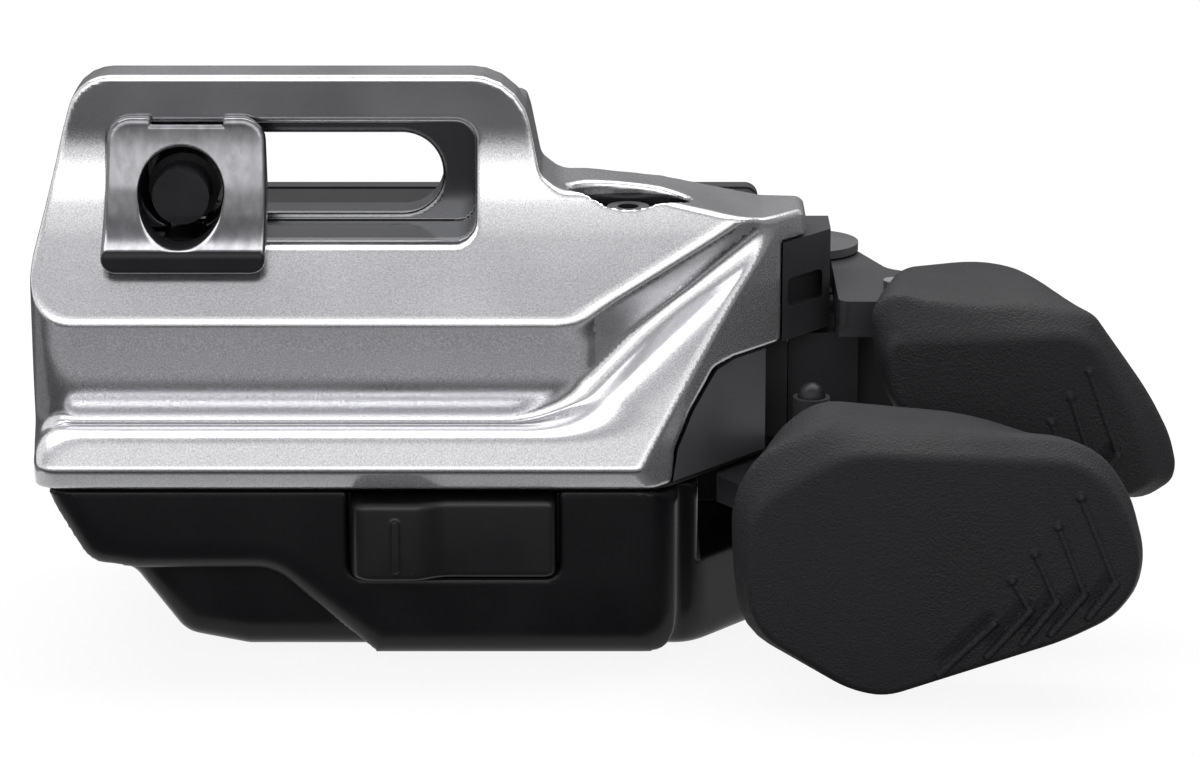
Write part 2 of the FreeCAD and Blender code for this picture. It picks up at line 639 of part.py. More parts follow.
# Lever pivot
PIN_TOP = "-upper_arm_drop + stack_gap"
PIN_LOW = "-lower_arm_drop - arm_thickness - stack_gap - 1"


def pivot_pin():
    pin = cylinder("pivot_pin_body", "pin_radius", "z", PIN_LOW, PIN_TOP, PIVOT)
    groove = cut("pivot_pin_groove",
                 cylinder("pivot_pin_groove_outer", "pin_radius + 1", "z", f"{PIN_LOW} + 0.4",
                          f"{PIN_LOW} + 1", PIVOT),
                 cylinder("pivot_pin_groove_inner", "pin_radius - 0.3", "z", PIN_LOW, PIN_TOP, PIVOT))
    return cut("pivot_pin", pin, groove)


def pivot_cap():
    return cylinder("pivot_cap", "eye_radius + 0.1", "z", PIN_TOP, f"{PIN_TOP} + cap_height", PIVOT)


def retaining_ring():
    outer = cylinder("retaining_ring_outer", "pin_radius + 0.9", "z", f"{PIN_LOW} + 0.4",
                     f"{PIN_LOW} + 1", PIVOT)
    inner = cylinder("retaining_ring_inner", "pin_radius - 0.3", "z", PIN_LOW, PIN_TOP, PIVOT)
    mouth = box("retaining_ring_mouth", ("pivot_x", "pivot_y - pin_radius * 0.6", PIN_LOW),
                ("pivot_x + pin_radius * 3", "pivot_y + pin_radius * 0.6", PIN_TOP))
    return cut("retaining_ring", outer, inner, mouth)


def bush(label, drop):
    outer = cylinder(label + "_outer", "pin_radius + turn_gap + bush_wall", "z",
                     f"-{drop} - arm_thickness", f"-{drop}",
                     PIVOT)
    inner = cylinder(label + "_inner", "pin_radius + turn_gap", "z", f"-{drop} - arm_thickness - 1",
                     f"-{drop} + 1",
                     PIVOT)
    return cut(label, outer, inner)


def return_spring(label, low):
    """A coil of square wire around the pivot pin, in the space between a lever and its ear."""
    radius = "pin_radius + spring_wire * 2.2"
    height = "spring_space - 2 * spring_wire - 2 * stack_gap"
    helix = doc.addObject("Part::Helix", label + "_path")
    helix.setExpression("Radius", bound(radius))
    helix.setExpression("Height", bound(height))
    helix.setExpression("Pitch", bound(f"({height}) / spring_turns"))
    wire = doc.addObject("Part::RegularPolygon", label + "_wire")
    wire.Polygon = 4
    wire.setExpression("Circumradius", bound("spring_wire * 1.3"))
    upright = FreeCAD.Rotation(FreeCAD.Vector(1, 0, 0), 90)
    wire.Placement.Rotation = upright.multiply(FreeCAD.Rotation(FreeCAD.Vector(0, 0, 1), 45))
    wire.setExpression("Placement.Base.x", bound(radius))
    coil = doc.addObject("Part::Sweep", label)
    coil.Label = label
    coil.Sections = [wire]
    coil.Spine = (helix, ["Edge1"])
    coil.Solid = True
    coil.Frenet = True
    for letter, text in zip("xyz", (*PIVOT, f"{low} + stack_gap + spring_wire")):
        coil.setExpression("Placement.Base." + letter, bound(text))
    return coil


# Levers
UPPER_PAD_SCREWS = (("upper_pad_left + 2.2", "3.0"), ("upper_pad_left + 5.8", "3.0"))
UPPER_PAD_SEAT = "-upper_arm_drop - arm_thickness"
UPPER_PAD_TIP = "-upper_arm_drop + 0.6"
LOWER_PAD_SCREWS = (("lower_pad_left + 6.0", "-lower_arm_drop - 3.7"),
                    ("lower_pad_left + 15.2", "-lower_arm_drop - 3.7"))
LOWER_PAD_SEAT = "-lower_pad_back + 1.4"
LOWER_PAD_TIP = "-lower_pad_back - 2.4"
SKIRT_LOW = "-lower_arm_drop + 0.4"


def lever_eye(label, drop):
    low = f"-{drop} - arm_thickness"
    eye = cylinder(label + "_eye", "eye_radius", "z", low, f"-{drop}", PIVOT)
    tail = box(label + "_tail", ("pivot_x - tail_reach", "pivot_y + tail_back - tail_width", low),
               ("pivot_x", "pivot_y + tail_back", f"-{drop}"))
    hole = cylinder(label + "_hole", "pin_radius + turn_gap + bush_wall", "z", f"{low} - 1",
                    f"-{drop} + 1", PIVOT)
    return eye, tail, hole


def upper_arm_blank(label):
    """The rear lever's plate with its front lip and its skirt, without any hole."""
    low = "-upper_arm_drop - arm_thickness"
    start = S.bracket_end + 0.35
    end = S.upper_pad_left + 7.6
    plate = slab(label + "_plate", "XY", outline([
        (start, S.pivot_y), (start, -0.8, 0.8), (end, -0.8), (end, 4.8, 1.0),
        (S.upper_pad_left + 2.0, 8.6, 2.0),
        (S.pivot_x + S.eye_radius, S.pivot_y),
    ]), low, "-upper_arm_drop")
    lip = box(label + "_lip", ("bracket_end + 0.35", "-0.8", f"{low} - 0.7"),
              ("upper_pad_left + 7.6", "0.6", low))
    skirt = box(label + "_skirt", ("bracket_end + 0.45", "5", SKIRT_LOW),
                ("upper_pad_left - 0.2", "6.6", low))
    inner = box(label + "_inner_skirt", (f"{SPINE_END} + 0.15", "5", SKIRT_LOW),
                ("bracket_end + 0.6", "6.6", "-bracket_drop - 0.5"))
    outer = box(label + "_outer_skirt", ("upper_pad_left - 0.8", "upper_pad_back + 0.2", SKIRT_LOW),
                ("upper_pad_left + 4", "upper_pad_back + 1.8", low))
    return fuse(label, plate, lip, skirt, inner, outer)


def upper_arm():
    eye, tail, hole = lever_eye("upper_arm", "upper_arm_drop")
    screw_holes = [
        cylinder(f"upper_arm_screw_hole_{index}", "screw_radius", "z",
                 "-upper_arm_drop - arm_thickness - 1",
                 "-upper_arm_drop + 1", centre)
        for index, centre in enumerate(UPPER_PAD_SCREWS)
    ]
    return cut("upper_arm", fuse("upper_arm_solid", eye, tail, upper_arm_blank("upper_arm_blank")), hole,
               *screw_holes)


ADJUSTER = ("pivot_x - 0.9", "-4.6")


def lower_arm():
    eye, tail, hole = lever_eye("lower_arm", "lower_arm_drop")
    low = "-lower_arm_drop - arm_thickness"
    back = -S.lower_pad_back
    right = S.upper_pad_left - 2.8
    plate = slab("lower_arm_plate", "XY", outline([
        (S.pivot_x - S.eye_radius * 0.9, S.pivot_y), (S.housing_end + 1.2, 8.0),
        (S.arm_bay_start + 1.7, -1.5),
        (S.arm_bay_start + 1.3, -5.0, 1.0), (S.lower_pad_left + 3.2, back),
        (S.lower_pad_left + 15.6, back),
        (S.lower_pad_left + 15.6, back + 2.0, 1.0), (right, -7.2), (right, 3.0),
        (S.pivot_x + 2.6, S.pivot_y - 1.8),
    ]), low, "-lower_arm_drop")
    flange = box("lower_arm_flange", ("lower_pad_left + 3.6", "-lower_pad_back", "-lower_arm_drop - 5.4"),
                 ("lower_pad_left + 17.6", "-lower_pad_back + 1.4", "-lower_arm_drop + 2.1"))
    post = cylinder("lower_arm_post", "screw_head_radius - 0.2", "z", low, "-lower_arm_drop + 5.7",
                    ADJUSTER)
    blank = fuse("lower_arm_blank", eye, tail, plate, flange, post)
    holes = [
        cylinder(f"lower_arm_screw_hole_{index}", "screw_radius", "y", "-lower_pad_back - 1",
                 "-lower_pad_back + 3", centre)
        for index, centre in enumerate(LOWER_PAD_SCREWS)
    ]
    adjuster_hole = cylinder("lower_arm_adjuster_hole", "screw_radius * 0.7", "z", "-lower_arm_drop + 2",
                             "-lower_arm_drop + 7", ADJUSTER)
    return cut("lower_arm", blank, hole, adjuster_hole, *holes)


def adjuster_screw():
    """A dome-headed screw that sets the reach of the front lever."""
    top = "-lower_arm_drop + 5.7"
    shank = cylinder("adjuster_shank", "screw_radius * 0.7", "z", "-lower_arm_drop + 2", top, ADJUSTER)
    head = doc.addObject("Part::Sphere", "adjuster_head")
    head.setExpression("Radius", bound("screw_head_radius - 0.5"))
    head.Angle1 = 0
    for letter, text in zip("xyz", (*ADJUSTER, top)):
        head.setExpression("Placement.Base." + letter, bound(text))
    return fuse("adjuster_screw", shank, head)


# Thumb pads: each is lofted through outlines at stated depths
def loft_section(label, points, depth):
    """A closed outline in a vertical plane at a depth."""
    sketch = doc.addObject("Sketcher::SketchObject", label)
    sketch.Placement.Rotation = FreeCAD.Rotation(FreeCAD.Vector(1, 0, 0), 90)
    sketch.addGeometry(outline(points), False)
    sketch.setExpression("Placement.Base.y", bound(depth))
    return sketch


def loft(label, sections):
    solid = doc.addObject("Part::Loft", label)
    solid.Label = label
    solid.Sections = sections
    solid.Solid = True
    solid.Ruled = True
    return solid


def moved(points, x, z):
    return [(x + point[0], z + point[1]) for point in points]


UPPER_FACE = [(1.7, -9.7), (14.0, -9.3), (15.6, -9.9), (18.6, -15.2), (19.5, -17.9), (19.9, -19.2),
              (19.7, -20.0),
              (18.3, -20.9), (13.3, -20.2), (5.1, -17.4), (1.7, -14.0), (1.3, -10.6)]
UPPER_RIM = [(1.3, -6.6), (14.4, -7.8), (15.8, -8.1), (19.9, -14.0), (21.4, -17.0), (21.9, -19.1),
             (21.7, -20.3),
             (19.7, -21.7), (13.7, -21.0), (4.7, -18.0), (0.9, -14.0), (0.1, -8.0)]
UPPER_MIDDLE = [(1.9, -6.5), (11.9, -6.4), (14.5, -8.0), (18.9, -13.8), (20.7, -17.0), (21.3, -19.0),
                (21.1, -20.1),
                (19.1, -21.4), (13.5, -20.6), (5.0, -17.7), (1.3, -13.9), (0.7, -8.0)]
UPPER_BACK = [(3.2, -6.8), (8.2, -6.05), (11.7, -7.4), (15.7, -13.0), (17.7, -16.5), (18.5, -18.5),
              (18.3, -19.4),
              (16.7, -20.4), (12.2, -19.6), (6.2, -17.0), (3.2, -13.5), (2.4, -8.0)]
LOWER_FACE = [(8.1, -14.8), (23.2, -15.4), (25.2, -16.6), (27.0, -19.4), (27.8, -22.2), (27.5, -24.2),
              (26.0, -26.2),
              (22.9, -27.8), (10.8, -31.9), (8.5, -31.4), (1.8, -27.2), (1.2, -22.7), (1.6, -18.8),
              (4.5, -16.9)]
LOWER_RIM = [(6.1, -13.3), (22.6, -13.85), (25.4, -15.1), (27.4, -17.9), (28.5, -22.0), (28.2, -24.5),
             (26.6, -26.8),
             (23.3, -28.5), (10.7, -32.7), (8.1, -32.1), (0.7, -27.7), (0.1, -22.7), (0.0, -18.4),
             (1.8, -15.2)]
LOWER_BACK = [(6.1, -12.15), (16.6, -13.2), (22.1, -15.6), (25.8, -18.6), (27.4, -22.0), (27.1, -24.3),
              (25.6, -26.2), (22.5, -27.6), (10.9, -31.6), (8.6, -31.1), (2.0, -27.0), (1.4, -22.7),
              (1.4, -18.6),
              (3.6, -14.0)]


def upper_pad():
    """The rear thumb pad, moulded over the end of its arm."""
    left = S.upper_pad_left
    solid = loft("upper_pad_solid", [
        loft_section("upper_pad_face", moved(UPPER_FACE, left, 0.0), "-upper_pad_front - 0.6"),
        loft_section("upper_pad_rim", moved(UPPER_RIM, left, 0.0),
                     "-upper_pad_front - 0.6 + upper_pad_bevel"),
        loft_section("upper_pad_middle", moved(UPPER_MIDDLE, left, 0.0), "1.5"),
        loft_section("upper_pad_rear", moved(UPPER_BACK, left, 0.0), "upper_pad_back"),
    ])
    screws = [
        screw_blank(f"upper_pad_screw_room_{index}", "z", UPPER_PAD_SEAT, UPPER_PAD_TIP, -1, centre)
        for index, centre in enumerate(UPPER_PAD_SCREWS)
    ]
    return cut("upper_pad", solid, upper_arm_blank("upper_pad_room"), *screws)


def ridge(label, points):
    """A raised grip ridge: a fine line down to the bend, then a broad bar down to the left."""
    bars = []
    for index in range(len(points) - 1):
        start = FreeCAD.Vector(*points[index], 0)
        end = FreeCAD.Vector(*points[index + 1], 0)
        last = index == len(points) - 2
        width = S.ridge_half_width if last else S.ridge_line_half_width
        along = (end - start).normalize()
        across = FreeCAD.Vector(-along.y, along.x, 0) * width
        end = end + along * (0.0 if last else width)
        corners = [start + across, start - across, end - across, end + across]
        bars.append(slab(f"{label}_bar_{index}", "XZ", outline([(corner.x,
                                                                 corner.y) for corner in corners]),
                         "-lower_pad_front - ridge_rise", "-lower_pad_front + 0.5"))
    return bars


RIDGES = [
    [(18.05, -26.75), (14.35, -30.4)],
    [(19.25, -23.65), (20.55, -25.8), (17.65, -29.1)],
    [(20.75, -21.7), (22.35, -25.2), (20.1, -28.15)],
    [(22.3, -19.75), (24.25, -24.65), (22.0, -27.45)],
    [(23.8, -17.7), (26.35, -23.85), (24.55, -26.25)],
]


def lower_pad():
    """The front thumb pad with its five grip ridges."""
    left = S.lower_pad_left
    solid = loft("lower_pad_solid", [
        loft_section("lower_pad_face", moved(LOWER_FACE, left, 0.0), "-lower_pad_front"),
        loft_section("lower_pad_rim", moved(LOWER_RIM, left, 0.0), "-lower_pad_front + lower_pad_bevel"),
        loft_section("lower_pad_rear", moved(LOWER_BACK, left, 0.0), "-lower_pad_back"),
    ])
    ridges = []
    for index, points in enumerate(RIDGES):
        ridges += ridge(f"lower_pad_ridge_{index}", moved(points, left, 0.0))
    screws = [
        screw_blank(f"lower_pad_screw_room_{index}", "y", LOWER_PAD_SEAT, LOWER_PAD_TIP, 1, centre)
        for index, centre in enumerate(LOWER_PAD_SCREWS)
    ]
    return cut("lower_pad", fuse("lower_pad_ridged", solid, *ridges), *screws)


def upper_pad_screws():
    return fuse("upper_pad_screws", *[
        screw(f"upper_pad_screw_{index}", "z", UPPER_PAD_SEAT, UPPER_PAD_TIP, -1, centre)
        for index, centre in enumerate(UPPER_PAD_SCREWS)
    ])


def lower_pad_screws():
    return fuse("lower_pad_screws", *[
        screw(f"lower_pad_screw_{index}", "y", LOWER_PAD_SEAT, LOWER_PAD_TIP, 1, centre)
        for index, centre in enumerate(LOWER_PAD_SCREWS)
    ])


# Function button
def function_button():
    low = "-button_drop"
    top = "-button_top"
    key = box("button_key", ("button_left", "-button_reach", low), ("button_right", BUTTON_BACK, top))
    lip = box("button_lip", ("button_left - 0.9", f"{BUTTON_BACK} - button_lip", f"{low} - 0.7"),
              ("button_right + 0.9", BUTTON_BACK, f"{top} - 0.3"))
    reach = S.thumb_reach
    thumb = slab("button_thumb", "XY", outline([
        (S.button_left, -S.button_reach), (S.button_left + 0.4, -reach, 0.3),
        (S.thumb_right - 1.8, -reach, 0.6),
        (S.thumb_right, -S.button_reach), (S.thumb_right, -S.button_reach + 0.3),
        (S.button_left, -S.button_reach + 0.3),
    ]), low, top)
    rib = box("button_rib", ("button_left + 2.9", "-thumb_reach - 0.3", "-button_top - 5"),
              ("button_left + 2.9 + button_rib", "-thumb_reach + 0.1", "-button_top - 1.3"))
    return fuse("function_button", key, lip, thumb, rib)


def switch(label, front, centre, facing):
    """A sealed tactile switch on a board; its plunger faces +Y or -Y."""
    half = "switch_size / 2"
    x, z = centre
    if facing > 0:
        low, high = front, f"{front} + switch_depth"
        plunger_low, plunger_high = high, f"{high} + plunger_reach"
    else:
        low, high = f"{front} - switch_depth", front
        plunger_low, plunger_high = f"{low} - plunger_reach", low
    case = box(label + "_case", (f"{x} - {half}", low, f"{z} - {half}"),
               (f"{x} + {half}", high, f"{z} + {half}"))
    plunger = cylinder(label + "_plunger", "plunger_radius", "y", plunger_low, plunger_high, centre)
    return fuse(label, case, plunger)


BUTTON_BACK = "-housing_reach + housing_wall + 0.3 + button_lip"
BUTTON_BOARD_FRONT = f"{BUTTON_BACK} + button_stroke + fit_gap + plunger_reach + switch_depth"
BUTTON_CENTRE_Z = "-button_top / 2 - button_drop / 2"


def button_board():
    return box("button_board", ("button_left + 3.5", BUTTON_BOARD_FRONT,
                                "-housing_drop + housing_wall + fit_gap"),
               ("button_right - 1.5", f"{BUTTON_BOARD_FRONT} + 0.8", "-rim_drop - 1.2"))


def function_switch():
    return switch("function_switch", BUTTON_BOARD_FRONT,
                  ("button_left / 2 + button_right / 2 + 1", BUTTON_CENTRE_Z), -1)


# Electronics in the rear half
BOARD_BACK = "board_front + board_thickness"


def circuit_board():
    inset = S.housing_wall + 0.3
    plate = slab("circuit_board_plate", "XZ", outline(rear_face(inset)), "board_front", BOARD_BACK)
    notches = []
    for name, (x, z) in POSTS.items():
        at_top = name.endswith("top")
        low = f"{z} - post_radius - 0.3" if at_top else "-housing_drop"
        high = "0" if at_top else f"{z} + post_radius + 0.3"
        notches.append(box("circuit_board_notch_" + name, (f"{x} - post_radius - 0.3", "board_front - 1",
                                                           low),
                           (f"{x} + post_radius + 0.3", f"{BOARD_BACK} + 1", high)))
    return cut("circuit_board", plate, *notches)


def lever_switch(label, drop):
    return switch(label, BOARD_BACK, ("housing_end - housing_wall - switch_size / 2 - 0.4",
                                      f"-{drop} - arm_thickness / 2"), 1)


CELL_Z = "-housing_drop + housing_wall + cell_foot_gap + holder_rim + cell_radius"
CELL_CENTRES = (("cell_x", CELL_Z), ("cell_x + cell_pitch", CELL_Z))
CELL_FRONT = "board_front + board_thickness + fit_gap + 0.5"


def battery_holder():
    block = box("battery_holder_block",
                ("cell_x - cell_radius - holder_rim - 0.1", f"{BOARD_BACK} + fit_gap",
                 f"{CELL_Z} - cell_radius - holder_rim"),
                ("cell_x + cell_pitch + cell_radius + holder_rim", f"{CELL_FRONT} + cell_thickness - 0.4",
                 f"{CELL_Z} + cell_radius + holder_rim"))
    bores = [
        cylinder(f"battery_holder_bore_{index}", "cell_radius + fit_gap", "y", CELL_FRONT,
                 f"{CELL_FRONT} + 8", centre)
        for index, centre in enumerate(CELL_CENTRES)
    ]
    return cut("battery_holder", block, *bores)


def coin_cell(index):
    return cylinder(f"coin_cell_{index + 1}", "cell_radius", "y", CELL_FRONT,
                    f"{CELL_FRONT} + cell_thickness",
                    CELL_CENTRES[index])


def contact_plate():
    back = f"{CELL_FRONT} + cell_thickness"
    return box("contact_plate", ("cell_x - 4", back, f"{CELL_Z} - 1.5"),
               ("cell_x + cell_pitch + 4", f"{back} + 0.3", f"{CELL_Z} + 1.5"))


def door_gasket():
    return ring("door_gasket", "XZ", rear_face(0.3), rear_face(S.housing_wall - 0.3),
                "housing_back", "housing_back + gasket_gap")


DOOR_FRONT = "housing_back + gasket_gap"
DOOR_SEAT = "housing_back + gasket_gap + door_thickness - screw_head_height"


def battery_door():
    plate = slab("battery_door_plate", "XZ", outline(rear_face(0.0)), DOOR_FRONT,
                 f"{DOOR_FRONT} + door_thickness")
    holes = []
    for name, centre in POSTS.items():
        holes.append(cylinder("battery_door_hole_" + name, "screw_radius", "y", "housing_back",
                              f"{DOOR_FRONT} + 3", centre))
        holes.append(cylinder("battery_door_seat_" + name, "screw_head_radius", "y", DOOR_SEAT,
                              f"{DOOR_SEAT} + 3", centre))
    return cut("battery_door", plate, *holes)


def door_screws():
    return fuse("door_screws", *[
        screw("door_screw_" + name, "y", DOOR_SEAT, "housing_back - 4.5", 1, centre) for name,
        centre in POSTS.items()
    ])


# Clamp hardware, which stays on the brake lever's clamp while the shifter slides along its slot
WASHER_FRONT = "slot_block_back + slide_gap"
WASHER_BACK = f"{WASHER_FRONT} + washer_thickness"
TIP_BACK = "-bolt_tip + bolt_tip_length"
BOLT_CENTRE = ("0", "0")


def saddle_back():
    """The saddle's back, from its foot up: it follows the cover's slope and its flange at a small gap."""
    share = (S.saddle_low - S.slope_mid_drop) / (S.crease_drop - S.slope_mid_drop)
    foot_reach = S.slope_mid_reach + share * (S.crease_reach - S.slope_mid_reach)
    return [
        FreeCAD.Vector(-foot_reach - S.slide_gap, -S.saddle_low, 0),
        FreeCAD.Vector(-S.slope_mid_reach - S.slide_gap, -S.slope_mid_drop, 0),
        FreeCAD.Vector(-S.slide_gap, S.slope_top, 0),
        FreeCAD.Vector(-S.slide_gap, S.saddle_top, 0),
    ]


def saddle_profile():
    """Side profile of the saddle: its back, its lip and the hollow front that seats on the clamp band."""
    top = FreeCAD.Vector(-S.saddle_top_reach, S.saddle_top, 0)
    lip = FreeCAD.Vector(-S.saddle_lip_reach, -S.saddle_low + S.saddle_lip_height, 0)
    chord = lip - top
    inward = FreeCAD.Vector(-chord.y, chord.x, 0).normalize()
    sag = S.bar_radius - math.sqrt(S.bar_radius ** 2 - (chord.Length / 2) ** 2)
    middle = (top + lip) * 0.5 + inward * sag
    points = [lip, FreeCAD.Vector(-S.saddle_lip_reach, -S.saddle_low, 0), *saddle_back(), top]
    edges = [Part.LineSegment(before, after) for before, after in zip(points, points[1:])]
    return edges + [Part.Arc(top, middle, lip)]


def clamp_saddle():
    """The seat for the brake lever's clamp band, with a key that slides in the cover's pocket."""
    left = -S.saddle_left
    right = left + S.saddle_width
    corner = 1.7
    profile = slab("saddle_profile", "YZ", saddle_profile(), "-saddle_left",
                   "-saddle_left + saddle_width")
    face = slab("saddle_face", "XZ", outline([
        (left, -S.saddle_low, corner * 0.6), (left + 0.3, S.saddle_top, corner),
        (right - 0.2, S.saddle_top, corner),
        (right, -S.saddle_low, corner * 0.6),
    ]), "-saddle_lip_reach - 1", "1")
    key_low = -S.pocket_low + S.slide_gap
    key_top = S.pocket_top - S.slide_gap
    key_back = S.pocket_depth - S.slide_gap
    key_root = 0.5
    key = slab("saddle_key", "YZ", outline([
        (key_back, key_low), (key_back, key_top), (-key_root, key_top), (-key_root, S.slope_top),
        (-S.slope_mid_reach + key_root / 2, key_low),
    ]), "-key_half", "key_half")
    notch = box("saddle_notch", ("-2.1", "-saddle_lip_reach", "saddle_top - 0.55"),
                ("2.9", "0", "saddle_top + 1"))
    holes = [
        cylinder("saddle_hole_top", "saddle_hole_half", "y", "-saddle_lip_reach - 1", "pocket_depth + 1",
                 ("0", "saddle_hole_top - saddle_hole_half")),
        cylinder("saddle_hole_low", "saddle_hole_half - 0.1", "y", "-saddle_lip_reach - 1",
                 "pocket_depth + 1",
                 ("0", "saddle_hole_half - 0.1 - saddle_hole_low")),
    ]
    seat = cut("saddle_seat", common("saddle_plate", profile, face), notch)
    return cut("clamp_saddle", fuse("saddle_blank", seat, key), *holes)


def slide_washer():
    block = box("slide_washer_block", ("-washer_width / 2", WASHER_FRONT, "-bolt_head_radius - 0.3"),
                ("washer_width / 2", WASHER_BACK, "slot_block_top - 0.6"))
    hole = cylinder("slide_washer_hole", "bolt_radius", "y", "slot_block_back - 1", "slot_block_back + 4",
                    BOLT_CENTRE)
    return cut("slide_washer", block, hole)


def clamp_bolt():
    """The bolt, whose slimmer tip threads into the brake lever's clamp."""
    head_end = f"{WASHER_BACK} + bolt_head_height"
    tip = cylinder("clamp_bolt_tip", "bolt_tip_radius", "y", "-bolt_tip", TIP_BACK, BOLT_CENTRE)
    shank = cylinder("clamp_bolt_shank", "bolt_radius", "y", TIP_BACK, WASHER_BACK, BOLT_CENTRE)
    head = cylinder("clamp_bolt_head", "bolt_head_radius", "y", WASHER_BACK, head_end, BOLT_CENTRE)
    socket = doc.addObject("Part::Prism", "clamp_bolt_socket")
    socket.Polygon = 6
    socket.setExpression("Circumradius", bound("bolt_radius * 0.75"))
    socket.setExpression("Height", bound("bolt_head_height * 0.6"))
    socket.Placement.Rotation = ALONG["y"]
    socket.setExpression("Placement.Base.y", bound(f"{head_end} - bolt_head_height * 0.6"))
    return cut("clamp_bolt", fuse("clamp_bolt_blank", tip, shank, head), socket)


def build_nodes():
    return [
        clamp_saddle(), clamp_bolt(), slide_washer(),
        top_cover(), cover_screw(), cover_gasket(), lower_housing(), housing_screws(), side_panel(),
        side_bracket(), bracket_screws(), pivot_pin(), pivot_cap(), retaining_ring(),
        circuit_board(), lever_switch("upper_switch", "upper_arm_drop"),
        lever_switch("lower_switch", "lower_arm_drop"), button_board(), function_switch(),
        battery_holder(), coin_cell(0), coin_cell(1), contact_plate(), door_gasket(), battery_door(),
        door_screws(),
        upper_arm(), bush("upper_bush", "upper_arm_drop"), upper_pad(), upper_pad_screws(),
        return_spring("upper_spring", UPPER_EAR_TOP),
        lower_arm(), bush("lower_bush", "lower_arm_drop"), lower_pad(), lower_pad_screws(),
        adjuster_screw(),
        return_spring("lower_spring", "-lower_arm_drop"),
        function_button(),
    ]


nodes = build_nodes()
doc.recompute()

failed = [item.Label for item in doc.Objects if "Invalid" in item.State or "Error" in item.State]
if failed:
    raise RuntimeError("objects that did not compute: " + ", ".join(failed))
for node in nodes:
    if node.Shape.isNull() or not node.Shape.isValid():
        raise RuntimeError("not a sound shape: " + node.Label)
for node in nodes:
    node.Shape.exportStep(os.path.join(PARTS_FOLDER, node.Label + ".step"))
    print(f"{node.Label}: {len(node.Shape.Solids)} solid(s), {node.Shape.Volume:.1f} mm3")
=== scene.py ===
import bpy
import json
import math
import numpy as np
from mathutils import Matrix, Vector


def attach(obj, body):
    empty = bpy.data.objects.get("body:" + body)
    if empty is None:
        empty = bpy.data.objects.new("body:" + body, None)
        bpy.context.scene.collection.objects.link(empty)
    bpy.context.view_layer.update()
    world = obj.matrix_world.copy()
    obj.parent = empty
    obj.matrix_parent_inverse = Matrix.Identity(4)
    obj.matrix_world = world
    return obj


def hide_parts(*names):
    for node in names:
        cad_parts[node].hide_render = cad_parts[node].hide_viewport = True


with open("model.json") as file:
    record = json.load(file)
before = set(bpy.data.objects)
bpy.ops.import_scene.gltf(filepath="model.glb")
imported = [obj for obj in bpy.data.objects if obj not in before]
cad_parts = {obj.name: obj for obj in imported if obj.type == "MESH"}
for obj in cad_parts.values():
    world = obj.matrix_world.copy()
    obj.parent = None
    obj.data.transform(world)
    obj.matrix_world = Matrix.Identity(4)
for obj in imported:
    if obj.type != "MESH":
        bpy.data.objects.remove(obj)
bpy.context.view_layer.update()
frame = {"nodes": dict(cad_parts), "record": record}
NODES = frame["nodes"]
MM = 0.001

# Distance fields below are in millimetres: negative inside, positive outside.


def smooth_max(a, b, width):
    """The larger of two distances; the edge where they meet is rounded over width."""
    blend = np.maximum(width - np.abs(a - b), 0.0) / width
    return np.maximum(a, b) + blend * blend * width / 4


def smooth_min(a, b, width):
    """The smaller of two distances, with the edge rounded likewise."""
    return -smooth_max(-a, -b, width)


def carve(solid, tool, width):
    """The solid without the tool, with a rounded edge."""
    return smooth_max(solid, -tool, width)


def facing(y, depth, lean=0.0, turn=0.0):
    """Distance in front of the surface at a depth that leans along Z and turns along X."""
    return (depth - y) / math.sqrt(1 + lean * lean + turn * turn)


def polygon(u, v, points):
    """Distance to a closed outline."""
    nearest = np.full(np.broadcast(u, v).shape, np.inf)
    inside = np.zeros(nearest.shape, bool)
    for (au, av), (bu, bv) in zip(points, points[1:] + points[:1]):
        eu, ev = bu - au, bv - av
        share = np.clip(((u - au) * eu + (v - av) * ev) / (eu * eu + ev * ev), 0.0, 1.0)
        nearest = np.minimum(nearest, (u - au - eu * share) ** 2 + (v - av - ev * share) ** 2)
        if ev:
            inside ^= ((av > v) != (bv > v)) & (u < eu * (v - av) / ev + au)
    return np.where(inside, -1.0, 1.0) * np.sqrt(nearest)


def rounded(points, steps=5):
    """An outline with an arc at each point that gives a radius."""
    result = []
    for index, point in enumerate(points):
        if len(point) == 2:
            result.append(point)
            continue
        here = Vector(point[:2])
        back = (Vector(points[index - 1][:2]) - here).normalized()
        onward = (Vector(points[(index + 1) % len(points)][:2]) - here).normalized()
        half = back.angle(onward) / 2
        centre = here + (back + onward).normalized() * (point[2] / math.sin(half))
        start = here + back * (point[2] / math.tan(half)) - centre
        end = here + onward * (point[2] / math.tan(half)) - centre
        for step in range(steps + 1):
            arm = start.lerp(end, step / steps).normalized() * point[2]
            result.append(tuple(centre + arm))
    return result


def softened(points, reach):
    """An outline whose corners are all arcs that start no further than reach from the corner."""
    result = []
    for index, point in enumerate(points):
        here = Vector(point)
        back = Vector(points[index - 1]) - here
        onward = Vector(points[(index + 1) % len(points)]) - here
        cut = min(reach, back.length * 0.45, onward.length * 0.45)
        half = back.angle(onward) / 2
        result.append((*point, cut * math.tan(half)))
    return rounded(result, 4)


def block(x, y, z, low, high):
    """Distance to a box between two corners."""
    deep = np.maximum(low[0] - x, x - high[0])
    deep = np.maximum(deep, np.maximum(low[1] - y, y - high[1]))
    return np.maximum(deep, np.maximum(low[2] - z, z - high[2]))


def rod(u, v, w, centre, radius, start, end):
    """Distance to a round bar along w."""
    return np.maximum(np.hypot(u - centre[0], v - centre[1]) - radius, np.maximum(start - w, w - end))


def segment(u, v, start, end):
    """Distance in a plane to the line between two points, and the share of the way along it."""
    eu, ev = end[0] - start[0], end[1] - start[1]
    share = np.clip(((u - start[0]) * eu + (v - start[1]) * ev) / (eu * eu + ev * ev), 0.0, 1.0)
    return np.hypot(u - start[0] - eu * share, v - start[1] - ev * share), share


